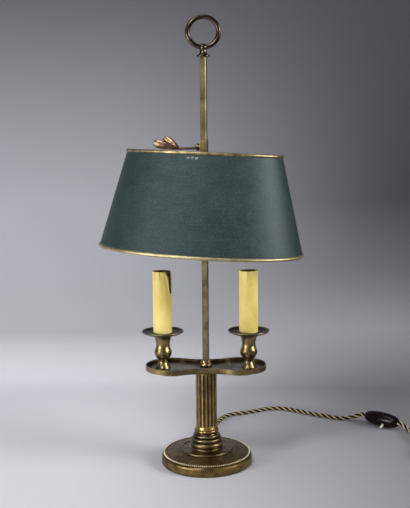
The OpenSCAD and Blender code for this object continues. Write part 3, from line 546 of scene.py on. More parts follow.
@dataclass(frozen=True)
class Lamp:
    """One soft square light: its place and its side in metres, and its power in watts.

    It points at the height aim_z, in metres, on the object's axis. Its beam's spread is in degrees.
    """
    name: str
    at: Point3
    side: float
    power: float
    aim_z: float = 0.28
    spread: float = 180.0

    def hang(self) -> None:
        """Hangs the light in the room."""
        data = bpy.data.lights.new(self.name, "AREA")
        data.size, data.energy, data.spread = self.side, self.power, radians(self.spread)
        light = bpy.data.objects.new(self.name, data)
        aim = Vector((0.0, 0.0, self.aim_z)) - Vector(self.at)
        light.matrix_world = Matrix.Translation(self.at) @ aim.to_track_quat("-Z", "Y").to_matrix().to_4x4()
        bpy.context.scene.collection.objects.link(light)


@dataclass
class Studio:
    """The photograph's viewpoint, a pale floor that turns up into a backdrop, and soft lamps.

    Lengths of the room are in metres. Each tone of the backdrop stands beside its height. Each
    fade of the room has an axis, its two ends on the unit sphere, and its tone.
    """
    focal_px: float = 800.0
    eye: Point3 = (0.0, -1.0875, 0.4192)
    pitch: float = 6.59
    roll: float = -0.52
    height_px: int = 508
    sensor_mm: float = 36.0
    floor_near: float = -3.0
    floor_depth: float = 0.36
    cove: float = 0.16
    cove_steps: int = 12
    paper_reach: float = 3.2
    paper_height: float = 3.0
    paper_top: float = 0.9
    paper_turn: Point2 = (-0.2, 0.42)
    # The tones paint the room's light on the paper: lit on the floor at the left, darker upwards and to the
    # right as a painted falloff, with a painted shadow of the lamp's shade in the right-hand ramp.
    left_tones: tuple[tuple[float, str], ...] = (
        (0.0, "#DFDEE5"), (0.08, "#A6A6AB"), (0.2, "#A6A6AC"), (0.34, "#A2A2A8"), (0.71, "#67676C"),
        (0.9, "#4E4E52"))
    right_tones: tuple[tuple[float, str], ...] = (
        (0.0, "#9B9BA0"), (0.08, "#ABABB1"), (0.2, "#808086"), (0.34, "#5A5A5F"), (0.71, "#57575C"),
        (0.9, "#57575C"))
    room_strength: float = 0.45
    room_tone: str = "#D2D4DA"
    room_fades: tuple[tuple[str, Point2, str], ...] = (
        ("X", (0.0, 0.7), "#2E2E33"), ("X", (-0.45, -0.95), "#77787E"), ("Z", (0.25, 0.95), "#5A5B60"))
    lamps: tuple[Lamp, ...] = (
        Lamp("high_left", (-0.44, -0.71, 1.25), 0.3, 6.0),
        Lamp("low_left", (-1.36, -1.05, 0.38), 0.6, 18.0),
        Lamp("patch_right", (1.25, -0.45, 0.85), 0.8, 2.4, 0.38, 50.0),
        Lamp("top", (-0.3, 0.0, 1.9), 0.8, 4.0))

    def camera(self) -> None:
        """Sets up the camera from the fitted viewpoint."""
        data = bpy.data.cameras.new("camera")
        data.sensor_width = self.sensor_mm
        data.lens = self.focal_px * self.sensor_mm / self.height_px
        eye = bpy.data.objects.new("camera", data)
        eye.matrix_world = Matrix.Translation(self.eye) @ spun(90 - self.pitch, "X") @ spun(self.roll)
        bpy.context.scene.collection.objects.link(eye)
        bpy.context.scene.camera = eye

    def backdrop(self) -> None:
        """Lays the floor and turns it up into the backdrop, with its front towards the viewer."""
        bm = bmesh.new()
        rows = [(self.floor_near, 0.0), (self.floor_depth, 0.0)]
        rows += [(self.floor_depth + self.cove * sin(a), self.cove * (1 - cos(a)))
                 for a in (pi / 2 * k / self.cove_steps for k in range(1, self.cove_steps + 1))]
        rows.append((self.floor_depth + self.cove, self.paper_height))
        first = [bm.verts.new((-self.paper_reach, y, z)) for y, z in rows]
        edges = [bm.edges.new(pair) for pair in zip(first, first[1:])]
        grown = bmesh.ops.extrude_edge_only(bm, edges=edges)["geom"]
        bmesh.ops.translate(bm, vec=(2 * self.paper_reach, 0, 0), verts=verts_in(grown))
        bmesh.ops.recalc_face_normals(bm, faces=bm.faces)
        bmesh.ops.reverse_faces(bm, faces=bm.faces)
        sheet = smoothed("backdrop", bm, [self.paper()])

    def paper(self) -> Material:
        """Builds the backdrop's paper: pale on the floor, with painted shade towards the top and the right.
        """
        bench = Bench("backdrop_paper")
        up = bench.put("ShaderNodeSeparateXYZ", (bench.place,), out="Z")
        rise = bench.put("ShaderNodeMapRange", (up, 0.0, self.paper_top))
        sides = []
        for tones in (self.left_tones, self.right_tones):
            ramp = bench.put("ShaderNodeValToRGB", (rise,))
            marks = ramp.node.color_ramp.elements
            for mark, (height, tone) in zip(marks, (tones[0], tones[-1])):
                mark.position, mark.color = height / self.paper_top, linear(tone)
            for height, tone in tones[1:-1]:
                marks.new(height / self.paper_top).color = linear(tone)
            sides.append(ramp)
        right = bench.put("ShaderNodeSeparateXYZ", (bench.place,), out="X")
        across = bench.put("ShaderNodeMapRange", (right, *self.paper_turn), SMOOTH)
        tone = bench.put("ShaderNodeMix", {0: across, 6: sides[0], 7: sides[1]}, RGBA, 2)
        bench.dress(Base_Color=tone, Roughness=0.85, Specular_IOR_Level=0.2)
        # A view from behind the paper looks through it
        back = bench.put("ShaderNodeNewGeometry", out="Backfacing")
        seen = bench.put("ShaderNodeLightPath", out="Is Camera Ray")
        behind = bench.put("ShaderNodeMath", (back, seen), {"operation": "MULTIPLY"})
        clear = bench.put("ShaderNodeBsdfTransparent")
        sheet = bench.put("ShaderNodeMixShader", (behind, bench.shader.outputs[0], clear))
        bench.feed(bench.tree.nodes["Material Output"].inputs["Surface"], sheet)
        return bench.material

    def light(self) -> None:
        """Sets the lamps, the plain view transform, and a room that is darker up and to both sides."""
        scene = bpy.context.scene
        scene.view_settings.view_transform = "Standard"
        scene.world = bpy.data.worlds.new("studio")
        scene.world.use_nodes = True
        room = NodeBench(scene.world.node_tree)
        way = room.put("ShaderNodeTexCoord", out="Generated")
        tone: NodeSocket | str = self.room_tone
        for letter, source, dark in self.room_fades:
            along = room.put("ShaderNodeSeparateXYZ", (way,), out=letter)
            fade = room.put("ShaderNodeMapRange", (along, *source), SMOOTH)
            tone = room.put("ShaderNodeMix", {0: fade, 6: tone, 7: dark}, RGBA, 2)
        sky = room.tree.nodes["Background"]
        room.feed(sky.inputs["Color"], tone)
        room.feed(sky.inputs["Strength"], self.room_strength)
        for lamp in self.lamps:
            lamp.hang()


# ---------- cord, switch and plug ----------

@dataclass
class CordAndSwitch:
    """The twisted cord from the foot's bushing to the plug, with the switch that sits in it.

    Two gold strands and two dark ones, which sit a little deeper, lie round each other. The
    points repeat the source's route.
    """
    radius: float = 3.4
    rest_z: float = 3.5
    lay: float = 23.0
    gold_r: float = 1.32
    dark_r: float = 1.6
    dark_sunk: float = 0.15
    step: float = 1.9
    exit_z: float = 6.2
    tip_y: float = 87.2
    switch_at: Point3 = (277.6, 140.5, 11.6)
    switch_turn: float = -43.0
    switch_l: float = 57.0
    coil_at: Point2 = (364.0, 80.0)
    coil_start: float = 190.0
    coil_r: float = 45.5
    coil_pitch: float = 7.3
    coil_turns: int = 6
    coil_steps: int = 48
    lead_in: float = 7.0
    tail: float = 31.0
    tie_angles: Point2 = (20.0, 130.0)
    tie_w: float = 7.0
    tie_t: float = 0.5
    switch_nodes: tuple[str, ...] = ("switch_lower", "switch_upper", "switch_screws", "switch_contacts",
                                     "switch_push_bar")
    plug_nodes: tuple[str, ...] = ("plug_grip", "plug_body", "plug_pins")

    def __post_init__(self) -> None:
        """Works out the places that the route shares with the switch and the coil."""
        heading = radians(self.switch_turn)
        self.along = Vector((cos(heading), sin(heading), 0))
        self.into = Vector(self.switch_at) - self.along * self.switch_l / 2
        self.out_of = Vector(self.switch_at) + self.along * self.switch_l / 2
        start = radians(self.coil_start)
        self.coil_dir = Vector((-sin(start), cos(start), 0))
        outwards = Vector((cos(start), sin(start), 0))
        self.coil_in = Vector((*self.coil_at, self.rest_z)) + outwards * self.coil_r

    def lamp_side(self) -> list[Vector]:
        """The centreline from the bushing to the switch."""
        z = self.rest_z
        points = [(0, self.tip_y + out, self.exit_z) for out in (0, 3, 6)]
        points += [(1, 105, z + 1), (3, 116, z), (8, 130, z), (15, 148, z), (21, 168, z), (30, 186, z),
                   (43, 198, z), (60, 204, z), (80, 213, z), (102, 224, z), (125, 227, z), (146, 217, z),
                   (167, 201, z), (187, 188, z), (207, 176, z), (223, 171, z), (238, 170.5, z + 3)]
        return smooth_run(points + [self.into - self.along * back for back in (9, 6, 3, 0)], 10)

    def plug_side(self) -> list[Vector]:
        """The centreline from the switch through the two layers of the coil to the plug."""
        z = self.rest_z
        points = [self.out_of + self.along * ahead for ahead in (0, 3, 6)]
        points += [(310, 109.5, z + 3), (316.5, 99.5, z), (319.5, 89.5, z)]
        points += [self.coil_in - self.coil_dir * (self.lead_in + back) for back in (1, 0)]
        line = smooth_run(points, 10)
        for i in range(self.coil_turns * self.coil_steps + 1):
            t = i / self.coil_steps
            climb = min(max((t - self.coil_turns / 2) * 2 + 0.5, 0), 1)
            a = radians(self.coil_start + 360 * t)
            r = self.coil_r - self.coil_pitch * min(t, self.coil_turns - t)
            line.append(Vector((self.coil_at[0] + r * cos(a), self.coil_at[1] + r * sin(a),
                                z + self.coil_pitch * climb)))
        last = line[-1]
        return line + [last + self.coil_dir * self.tail / 2, last + self.coil_dir * self.tail]

    def spaced(self, line: Sequence[Vector]) -> list[Vector]:
        """Puts points on a line at even steps, with one at its end.

        Args:
            line: the line's own points.

        Returns:
            The even points.
        """
        even, carry = [line[0]], 0.0
        for a, b in zip(line, line[1:]):
            length = (b - a).length
            at = self.step - carry
            while at <= length:
                even.append(a.lerp(b, at / length))
                at += self.step
            carry = length - (at - self.step)
        if (line[-1] - even[-1]).length > self.step * 0.3:
            even.append(line[-1])
        return even

    def strands(self, name: str, line: Sequence[Vector]) -> Object:
        """Lays the four strands round a centreline in a right-handed twist, as one mesh.

        Args:
            name: the piece's name.
            line: the evenly spaced centreline.

        Returns:
            The cord's object, with a UV map in millimetres along each strand.
        """
        headings = [(line[min(i + 1, len(line) - 1)] - line[max(i - 1, 0)]).normalized()
                    for i in range(len(line))]
        side = headings[0].cross(Vector((0, 0, 1))).normalized()
        sides = []
        for heading in headings:
            side = (side - heading * side.dot(heading)).normalized()
            sides.append(side.copy())
        bm = bmesh.new()
        kinds = ((self.gold_r, 0.0), (self.dark_r, self.dark_sunk)) * 2
        for strand, (thick, sunk) in enumerate(kinds):
            off = self.radius - thick - sunk
            curve = bpy.data.curves.new("strand", "CURVE")
            curve.dimensions, curve.bevel_depth = "3D", thick * MM
            curve.bevel_resolution, curve.use_fill_caps = 2, True
            spline = curve.splines.new("POLY")
            spline.points.add(len(line) - 1)
            for i, (centre, heading, side) in enumerate(zip(line, headings, sides)):
                twist = tau * (strand / len(kinds) + i * self.step / self.lay)
                out = side * cos(twist) + heading.cross(side) * sin(twist)
                spline.points[i].co = (*((centre + out * off) * MM), 1.0)
            holder = bpy.data.objects.new("strand", curve)
            bpy.context.scene.collection.objects.link(holder)
            shown = holder.evaluated_get(bpy.context.evaluated_depsgraph_get())
            mesh = bpy.data.meshes.new_from_object(shown)
            mesh.materials.clear()
            for corner in mesh.uv_layers[0].data:
                corner.uv.x *= len(line) * self.step
            mesh.polygons.foreach_set("material_index", [strand % 2] * len(mesh.polygons))
            bm.from_mesh(mesh)
            bpy.data.meshes.remove(mesh)
            bpy.data.objects.remove(holder)
            bpy.data.curves.remove(curve)
        return finished(name, bm, (Finish.GOLD_SILK, Finish.DARK_SILK), 60)

    def ties(self) -> Object:
        """Wraps two narrow ties round the coil's turns."""
        bm = bmesh.new()
        inner = self.coil_r - self.coil_pitch * self.coil_turns / 2
        low, high = self.rest_z - self.radius, self.rest_z + self.coil_pitch + self.radius
        middle, half = (inner + self.coil_r) / 2, (self.coil_r - inner) / 2 + self.radius
        right = [(half, low + 0.6), (half + 0.5, low + 4), (half + 0.5, high - 4), (half - 2.5, high + 0.4)]
        rows = right + [(-x, z) for x, z in reversed(right)]
        for angle in self.tie_angles:
            loop = [bm.verts.new(((middle + x) * MM, -self.tie_w / 2 * MM, z * MM)) for x, z in rows]
            edges = [bm.edges.new((a, b)) for a, b in zip(loop, loop[1:] + loop[:1])]
            made = verts_in(bmesh.ops.extrude_edge_only(bm, edges=edges)["geom"])
            bmesh.ops.translate(bm, vec=(0, self.tie_w * MM, 0), verts=made)
            faces = list({f for v in loop for f in v.link_faces})
            bmesh.ops.recalc_face_normals(bm, faces=faces)
            whole = bmesh.ops.solidify(bm, geom=faces, thickness=-self.tie_t * MM)["geom"]
            bmesh.ops.transform(bm, verts=list(set(loop + made + verts_in(whole))),
                                matrix=shift(*self.coil_at, 0) @ spun(angle))
        bmesh.ops.recalc_face_normals(bm, faces=bm.faces)
        return finished("coil_ties", bm, (Finish.RUBBER,))

    def build(self) -> None:
        near = self.spaced(self.lamp_side())
        far = self.spaced(self.plug_side())
        cord = self.strands("cord_to_switch", near)
        ride(cord, "root", "cord", "cord_lamp_side")
        self.length(near)
        wound = self.strands("cord_to_plug", far)
        ride(wound, "root", "cord", "cord_plug_side", "cord_coil")
        ties = self.ties()
        ride(ties, "root", "cord")
        self.length(far)
        LOG.info("cord %.3f m to the switch, %.3f m to the plug", self.length(near), self.length(far))

    def length(self, line: Sequence[Vector]) -> float:
        """The line's length in metres, to the millimetre."""
        return round(sum((b - a).length for a, b in zip(line, line[1:])) * MM, 3)


# ---------- foot and column ----------

@dataclass
class BaseMoulding:
    """The turned moulding between the foot and the column: a fillet, a bell and three rolls."""
    foot_top: float = 18.5
    bore: float = 5.1
    bell_r: float = 36.0
    bell_h: float = 4.6
    bell_steps: int = 12
    roll_r: Point3 = (23.1, 21.1, 18.7)
    roll_t: Point3 = (8.2, 5.4, 4.8)
    roll_steps: int = 14
    neck_r: float = 14.2
    neck_h: float = 2.4

    def build(self) -> None:
        """Turns the moulding."""
        z, r = self.foot_top, self.bell_r
        outline: Outline = [(self.bore, z), (r, z)]
        outline += smooth_run([(r, z + 1.4), (r - 0.5, z + 2.2), (r - 1.3, z + 2.4), (r - 2.1, z + 2.1),
                               (r - 2.7, z + 1.6)], 4)
        inner = self.roll_r[0] - 1.4
        outline += [(inner + (r - 3.4 - self.roll_r[0]) * (1 - sin(a)),
                     z + 1.7 + (self.bell_h - 1.9) * (1 - cos(a)))
                    for a in (pi / 2 * k / self.bell_steps for k in range(self.bell_steps + 1))]
        foot = z + self.bell_h
        for radius, thickness in zip(self.roll_r, self.roll_t):
            half = thickness / 2
            outline += [(radius - half + half * sin(a), foot + half - half * cos(a))
                        for a in (pi * k / self.roll_steps for k in range(self.roll_steps + 1))]
            foot += thickness
        outline += smooth_run([(self.neck_r + 0.6, foot), (self.neck_r, foot + self.neck_h / 2),
                               (self.neck_r + 0.8, foot + self.neck_h)], 5)
        outline.append((self.bore, foot + self.neck_h))
        moulding = finished("moulding", turn(outline + outline[:1], 128), (Finish.MOULDED,))
        ride(moulding, "root", "brass", "base_moulding")


@dataclass
class BeadBorder:
    """The border of small upright beads that stands on the foot's ledge."""
    count: int = 132
    ring_r: float = 59.6
    ledge_z: float = 13.2
    bead_r: float = 1.3
    bead_w: float = 0.82
    lift: float = 0.05

    def build(self) -> None:
        """Sets the beads round the foot."""
        bm = bmesh.new()
        bead = (shift(self.ring_r, 0, self.ledge_z + self.bead_r + self.lift)
                @ Matrix.Diagonal((self.bead_r, self.bead_w, self.bead_r, 1)))
        for i in range(self.count):
            bmesh.ops.create_uvsphere(
                bm, u_segments=12, v_segments=8, radius=MM, matrix=spun(360 * i / self.count) @ bead)
        ride(finished("foot_beads", bm, (Finish.BEADS,), 80), "root", "brass", "bead_border")


# ---------- lights ----------

class Side(Enum):
    """The two sides of the tray."""
    LEFT = -1
    RIGHT = 1

    @property
    def word(self) -> str:
        """The side's name as the nodes spell it."""
        return self.name.lower()


@dataclass(frozen=True)
class WaxRun:
    """One run of wax: its top's and foot's angle in degrees, its start under the rim, its length."""
    top: float
    foot: float
    start: float
    length: float


@dataclass
class CandleLight:
    """One candle light: the turned cup, the drip pan and the waxed card sleeve.

    The broken edge is given by angles round the sleeve, in degrees, each with its depth there.
    """
    side: Side
    broken: tuple[Point2, ...] = ()
    runs: tuple[WaxRun, ...] = ()
    light_x: float = 59.4
    floor_z: float = 135.0
    cup_h: float = 46.4
    belly_r: float = 12.25
    stem_r: float = 6.4
    bore: float = 5.1
    pan_r: float = 28.9
    pan_h: float = 6.3
    pan_seat: float = 0.64
    candle_r: float = 13.0
    candle_h: float = 85.4
    candle_wall: float = 1.4
    candle_rows: int = 70
    run_w: float = 0.95
    run_t: float = 1.3
    drop_w: float = 1.6
    drop_l: float = 1.8
    drop_t: float = 1.9
    full_run: float = 12.0
    rough: float = 0.12
    rough_per_m: float = 140.0
    wave: float = 0.35
    wave_reach: float = 14.0
    waves: float = 1.7
    wave_shift: float = 3.1

    def place(self, height: float) -> Matrix:
        """The matrix that puts a turned shape on this light's axis."""
        return shift(self.side.value * self.light_x, 0, height)

    def cup(self) -> None:
        """Turns the cup: a foot, a stem, a belly and a flaring neck."""
        belly, r = 0.5 * self.cup_h, self.belly_r
        outline: Outline = [(self.bore, 0), (10.1, 0)]
        outline += smooth_run([(10.2, 0.8), (9.5, 2.0), (8.0, 4.6), (self.stem_r, 8.4),
                               (self.stem_r, 11.4)], 5)
        outline += smooth_run([(6.8, belly - 10.3), (8.4, belly - 9.1), (10.1, belly - 7.3),
                               (r - 0.9, belly - 4.7), (r - 0.2, belly - 2.4), (r, belly - 0.6),
                               (r, belly + 0.7)], 6)
        outline += smooth_run([(r - 0.1, belly + 1.0), (r - 0.7, belly + 1.3), (r - 0.7, belly + 1.7)], 3)
        outline += smooth_run([(r - 0.8, belly + 2.1), (10.3, belly + 5.4), (9.5, belly + 9),
                               (10.0, belly + 13.5), (11.1, belly + 18), (12.6, self.cup_h - 2.2),
                               (14.6, self.cup_h)], 5)
        outline.append((self.bore, self.cup_h))
        cup = finished(f"cup_{self.side.word}_turned", turn(outline + outline[:1], 96), (Finish.BRASS,),
                       place=self.place(self.floor_z))
        ride(cup, "root", "brass", f"cup_{self.side.word}")

    def pan(self) -> None:
        """Turns the drip pan with its rolled edge."""
        r, h, seat, sleeve = self.pan_r, self.pan_h, self.pan_seat * self.pan_h, self.candle_r
        outline: Outline = [(self.bore, 0), (15.5, 0)]
        outline += smooth_run([(17, 0.1), (r - 6, 1.5), (r - 2.2, 3.2), (r - 0.7, 4.4)], 5)
        outline += smooth_run([(r - 0.15, h - 1.7), (r, h - 0.9), (r - 0.35, h - 0.2), (r - 0.95, h),
                               (r - 1.6, h - 0.4)], 4)
        outline += smooth_run([(r - 3, h - 2), (r - 6, seat - 0.7), (sleeve + 3, seat - 1.2),
                               (sleeve + 1.2, seat - 0.9), (sleeve + 0.6, seat)], 4)
        outline.append((self.bore, seat))
        pan = finished(f"pan_{self.side.word}_turned", turn(outline + outline[:1], 128), (Finish.PAN,),
                       place=self.place(self.floor_z + self.cup_h))
        ride(pan, "root", "dark_brass", f"drip_pan_{self.side.word}")

    def break_depth(self, angle: float) -> float:
        """Gives how deep the broken edge lies under the rim.

        Args:
            angle: the place round the sleeve, in degrees.

        Returns:
            The depth, which is 0 where the rim is whole.
        """
        for (a, low), (b, high) in zip(self.broken, self.broken[1:]):
            if a <= angle <= b:
                return low + (high - low) * (angle - a) / (b - a)
        return 0.0

    def wax(self, angle: float, drop: float) -> float:
        """Gives how far the runs of wax stand off the sleeve.

        Args:
            angle: the place round the sleeve, in degrees.
            drop: the depth under the rim.

        Returns:
            The thickness of the wax there.
        """
        thick = 0.0
        for run in self.runs:
            along = min(max((drop - run.start) / run.length, 0), 1)
            beside = radians(angle - run.top - (run.foot - run.top) * along) * self.candle_r
            past = drop - run.start - run.length
            bead = exp(-(past / self.drop_l) ** 2) * exp(-(beside / self.drop_w) ** 2)
            tail = exp(-(beside / self.run_w) ** 2) if run.start < drop and past < 0 else 0.0
            thick = max(thick, self.run_t * tail, self.drop_t * bead * min(1.0, run.length / self.full_run))
        return thick

    def candle(self) -> None:
        """Draws the sleeve with its uneven rim, its broken place and its runs of wax."""
        r, bore, h, rows = self.candle_r, self.candle_r - self.candle_wall, self.candle_h, self.candle_rows
        outline: Outline = [(r, h * k / rows) for k in range(rows)]
        outline += [(r, h - 0.5), (r - 0.4, h), (bore + 0.3, h), (bore, h - 0.5)]
        outline += [(bore, h * (1 - k / rows)) for k in range(1, rows + 1)]
        bm = turn(outline + outline[:1], 144)
        for v in bm.verts:
            angle, up, radius = degrees(atan2(v.co.y, v.co.x)), v.co.z / MM, v.co.xy.length / MM
            if radius > r - 0.6 and up > 0.5:
                grow = self.rough * noise.noise(v.co * self.rough_per_m) + self.wax(angle, h - up)
                v.co.xy *= 1 + grow / radius
            around = Vector((cos(radians(angle)), sin(radians(angle)), self.wave_shift * self.side.value))
            near_rim = max(0.0, 1 - (h - up) / self.wave_reach)
            uneven = self.wave * (1 + noise.noise(around * self.waves)) * near_rim
            v.co.z = min(v.co.z - uneven * MM, (h - self.break_depth(angle)) * MM)
        bmesh.ops.remove_doubles(bm, verts=bm.verts, dist=0.02 * MM)
        bmesh.ops.dissolve_degenerate(bm, edges=bm.edges, dist=0.01 * MM)
        # Faces in the bore get the painted shade of the sleeve's inside.
        for face in bm.faces:
            face.material_index = int(face.calc_center_median().xy.length < (bore + 0.15) * MM)
        foot = self.floor_z + self.cup_h + self.pan_seat * self.pan_h
        sleeve = finished(f"sleeve_{self.side.word}", bm, (Finish.WAX, Finish.SHADED_CARD), 50, self.place(foot))
        ride(sleeve, "root", "wax_card", f"candle_{self.side.word}")

    def build(self) -> None:
        """Builds the light from its cup up."""
        self.cup()
        self.pan()
        self.candle()


# ---------- finial ----------

@dataclass
class Finial:
    """The turned knob on the rod's top and the carrying ring that it holds."""
    rod_top: float = 557.5
    flange_r: float = 9.3
    ball_up: float = 12.2
    ball_r: float = 5.2
    ball_from: float = 9.2
    ball_steps: int = 18
    ring_r: float = 23.3
    wire_r: float = 3.2
    oval: float = 1.03

    def knob(self) -> None:
        """Turns the flange, the neck and the ball."""
        r, ball = self.flange_r, self.ball_up
        outline: Outline = [(2.1, 0), (r - 0.5, 0)]
        outline += smooth_run([(r - 0.1, 0.4), (r, 1.0), (r - 0.2, 1.7), (r - 0.9, 2.3)], 4)
        outline += smooth_run([(r - 1.4, 2.4), (r - 3, 3.2), (5.3, 4.8), (4.7, 6.6), (4.5, 8.2),
                               (4.5, 8.8)], 4)
        first = asin(-(ball - self.ball_from) / self.ball_r)
        outline += [(self.ball_r * cos(a), ball + self.ball_r * sin(a))
                    for a in (first + (pi / 2 - first) * k / self.ball_steps for k in range(self.ball_steps))]
        outline.append((0, ball + self.ball_r))
        knob = finished("finial_knob", turn(outline, 64), (Finish.FINIAL,), place=shift(0, 0, self.rod_top))
        ride(knob, "root", "brass", "finial_base")

    def ring(self) -> None:
        """Bends the ring from round wire, a little wider than it is high."""
        bm = bmesh.new()
        middle = self.ring_r - self.wire_r
        wire = bmesh.ops.create_circle(
            bm, segments=20, radius=self.wire_r * MM, matrix=shift(middle, 0, 0))["verts"]
        bmesh.ops.spin(bm, geom=wire + edges_at(wire), cent=(0, 0, 0), axis=(0, 1, 0), angle=tau, steps=120,
                       use_merge=True)
        bmesh.ops.remove_doubles(bm, verts=bm.verts, dist=SAME_PLACE)
        bmesh.ops.recalc_face_normals(bm, faces=bm.faces)
        place = (shift(0, 0, self.rod_top + self.ball_up + middle)
                 @ Matrix.Diagonal((self.oval, 1, 1 / self.oval ** 0.5, 1)))
        ring = finished("carrying_ring", bm, (Finish.FINIAL,), 60, place)
        ride(ring, "root", "brass", "finial_ring")

    def build(self) -> None:
        """Builds the knob and the ring."""
        self.knob()
        self.ring()


# ---------- shade ----------

@dataclass
class OvalShade:
    """The oval painted shade with a brass rim at its top and bottom, on the slide of the square rod."""
    half_top: Point2 = (106.5, 64.0)
    flare: float = 34.0
    height: float = 130.0
    top_z: float = 430.0
    tilt: float = 3.1
    turned: float = 13.0
    sheet: float = 1.0
    sheet_rows: int = 14
    rim_r: float = 2.3
    rim_sides: int = 14
    steps: int = 192

    def place(self) -> Matrix:
        """The matrix of the shade's own frame, with the middle of its top rim at zero."""
        return spun(-self.turned) @ shift(0, 0, self.top_z) @ spun(self.tilt, "Y")

    def shell(self) -> None:
        """Draws the painted sheet, with the cream enamel inside."""
        slope, drop, rows = self.flare / self.height, self.height - 2, self.sheet_rows
        outside = [(slope * (1 + drop * k / rows), 0.0, -1 - drop * k / rows) for k in range(rows + 1)]
        inside = [(grow, -self.sheet, z) for grow, _, z in reversed(outside)]
        bm = oval_wall(self.half_top, outside + inside, self.steps)
        for face in bm.faces:
            face.material_index = int(face.normal.xy.dot(face.calc_center_median().xy) < 0)
        sheet = finished("shade_sheet", bm, (Finish.TOLE, Finish.ENAMEL), place=self.place())
        ride(sheet, "shade", "painted_tole", "shade_shell")

    def rim(self, name: str, spread: float, height: float, node: str, finish: Finish) -> None:
        """Rolls a brass rim round an oval edge.

        Args:
            name: the piece's name.
            spread: how much the edge's oval is wider than the top one.
            height: the edge's height in the shade's own frame.
            node: the solid that it stands for.
            finish: its finish.
        """
        outline = [(spread, -self.sheet / 2 + self.rim_r * cos(a), height + self.rim_r * sin(a))
                   for a in (tau * k / self.rim_sides for k in range(self.rim_sides))]
        bm = oval_wall(self.half_top, outline, self.steps)
        ride(finished(name, bm, (finish,), 60, self.place()), "shade", "brass", node)

    def build(self) -> None:
        """Builds the sheet and the two rims."""
        self.shell()
        self.rim("rim_bead_top", 0.0, 0.0, "shade_rim_top", Finish.TOP_RIM)
        self.rim("rim_bead_bottom", self.flare, -self.height, "shade_rim_bottom", Finish.LOW_RIM)


@dataclass
class ThumbKey:
    """The cast head of the thumb screw, a tulip with two petals on a slim stem."""
    axis_z: float = 438.7
    turned: float = 13.0
    stem_at: float = 11.4
    stem_l: float = 25.0
    leaf_l: float = 35.0
    lump_l: float = 2.2
    least: float = 0.5
    steps: int = 7
    voxel: float = 0.45
    relaxing: float = 0.6

    def lump(self, bm: BMesh, at: Vector, half_w: float, half_t: float, tilt: float) -> None:
        """Adds one ellipsoid of the casting.

        Args:
            bm: the mesh that gets it.
            at: its place outwards, sideways and up on the key.
            half_w: its half width.
            half_t: its half thickness.
            tilt: its rise outwards, in degrees.
        """
        turned = spun(-self.turned)
        place = turned @ Vector((-at.x, at.y, self.axis_z + at.z)) * MM
        size = (self.lump_l, max(half_w, self.least), max(half_t, self.least), 1)
        bmesh.ops.create_icosphere(bm, subdivisions=3, radius=MM, matrix=(
            Matrix.Translation(place) @ turned @ spun(tilt, "Y") @ Matrix.Diagonal(size)))

    def petal(self, bm: BMesh, line: Sequence[Point3], sizes: Sequence[Point2]) -> None:
        """Adds a row of ellipsoids along a petal.

        Args:
            bm: the mesh that gets them.
            line: places outwards, sideways and up on the key.
            sizes: half width and half thickness at each of the places.
        """
        way = smooth_run(line, self.steps)
        for i, (at, size) in enumerate(zip(way, smooth_run(sizes, self.steps))):
            ahead = way[min(i + 1, len(way) - 1)] - way[max(i - 1, 0)]
            self.lump(bm, at, size.x, size.y, degrees(atan2(ahead.z, ahead.x)))

    def build(self) -> None:
        """Casts the head: a stem and two petals of lumps that a remesh melts into one skin."""
        bm = bmesh.new()
        foot, root, length = self.stem_at, self.stem_at + self.stem_l, self.leaf_l
        self.petal(bm, [(foot + 0.4, 0, -1.2), (foot + 8, 0, -1.5), (root - 6, 0, -1.7), (root, 0, -1.5)],
                   [(2.3, 2.3), (1.9, 1.9), (1.9, 1.9), (2.2, 2.3)])
        low = [(0, -0.3, -1.0), (0.2, -1.6, -0.2), (0.44, -2.8, 1.8), (0.65, -3.4, 3.9), (0.82, -3.6, 5.6),
               (0.91, -3.6, 6.8)]
        high = [(0, 0.3, -0.6), (0.16, 1.6, 3.0), (0.33, 3.0, 7.2), (0.47, 3.6, 10.4), (0.55, 3.6, 12.2)]
        self.petal(bm, [(root + part * length, side, up) for part, side, up in low],
                   [(2.0, 2.2), (2.6, 3.4), (2.8, 5.0), (2.7, 6.0), (2.2, 5.6), (1.4, 3.6)])
        self.petal(bm, [(root + part * length, side, up) for part, side, up in high],
                   [(2.0, 2.2), (2.6, 4.2), (2.8, 5.6), (2.4, 5.4), (1.4, 3.4)])
        leaf = finished("key_tulip", bm, (Finish.BRONZE,), 70)
        melt = leaf.modifiers.new("melt", "REMESH")
        melt.mode, melt.voxel_size, melt.use_smooth_shade = "VOXEL", self.voxel * MM, True
        relax = leaf.modifiers.new("relax", "SMOOTH")
        relax.factor, relax.iterations = self.relaxing, 6
        ride(leaf, "key", "bronze", "key_leaf")


# ---------- kept nodes ----------

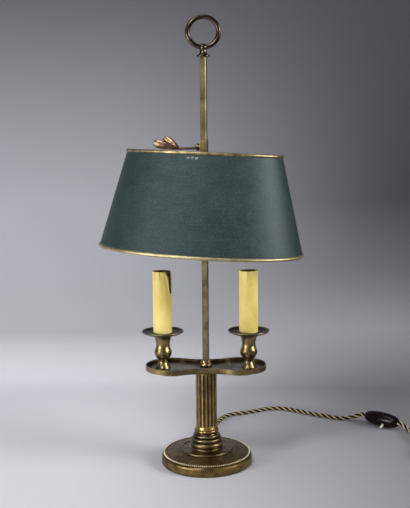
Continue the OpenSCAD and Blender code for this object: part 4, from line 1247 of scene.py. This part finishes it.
@dataclass
class KeptSolids:
    """The solids whose own shape shows, each with its finish."""
    table: Mapping[Finish, tuple[str, ...]] = field(default_factory=lambda: {
        Finish.FOOT: ("foot_shell",),
        Finish.FLUTED: ("column",),
        Finish.BRASS: ("rod_socket", "shade_bar", "shade_slide", "tie_tube"),
        Finish.ROD: ("rod",),
        Finish.TINNED: ("bar_rivets",),
        Finish.TRAY: ("tray", "wire_cover"),
        Finish.FINIAL: ("key_screw",),
        Finish.LACQUERED: ("nipple_left", "nipple_right", "screw_shells", "switch_contacts"),
        Finish.PORCELAIN: ("terminal_block", "switch_push_bar"),
        Finish.STEEL: ("base_nut", "base_washer", "cup_locknuts", "centre_contacts", "switch_screws",
                       "plug_pins", "base_plate"),
        Finish.IRON: ("base_weight",),
        Finish.FELT: ("felt_pad",),
        Finish.BAKELITE: ("cord_bushing", "switch_lower", "switch_upper", "plug_body", "plug_grip",
                          "lampholder_left", "lampholder_right"),
        Finish.RUBBER: ("lead_left", "lead_right"),
        Finish.GOLD_SILK: ("cord_inner",),
    })

    def dress(self) -> None:
        """Gives every kept node its material."""
        for finish, names in self.table.items():
            for name in names:
                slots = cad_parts[name].data.materials
                slots.clear()
                slots.append(finish.material)
            LOG.info("%s: %s", finish.value.name, ", ".join(names))


def main() -> None:
    """Builds the scene: camera and cord first, then the lamp from the foot up."""
    logging.basicConfig(level=logging.INFO, format="%(name)s: %(message)s")
    studio = Studio()
    studio.camera()
    CordAndSwitch().build()
    BaseMoulding().build()
    BeadBorder().build()
    CandleLight(
        Side.LEFT, broken=((-66, 0), (-58, 2.5), (-50, 5.5), (-45, 9), (-41, 16), (-37, 26), (-33, 30),
                           (-10, 31), (8, 24), (14, 8), (18, 0)),
        runs=(WaxRun(-86, -62, 0.8, 4), WaxRun(-62, -52, 4.8, 5.5), WaxRun(-52, -44, 10.3, 19),
              WaxRun(-104, -104, 1, 9))).build()
    CandleLight(Side.RIGHT, runs=(WaxRun(-58, -61, 9, 15), WaxRun(-102, -100, 2, 6))).build()
    Finial().build()
    OvalShade().build()
    ThumbKey().build()
    KeptSolids().dress()
    studio.backdrop()
    studio.light()


if __name__ == "__main__":
    main()
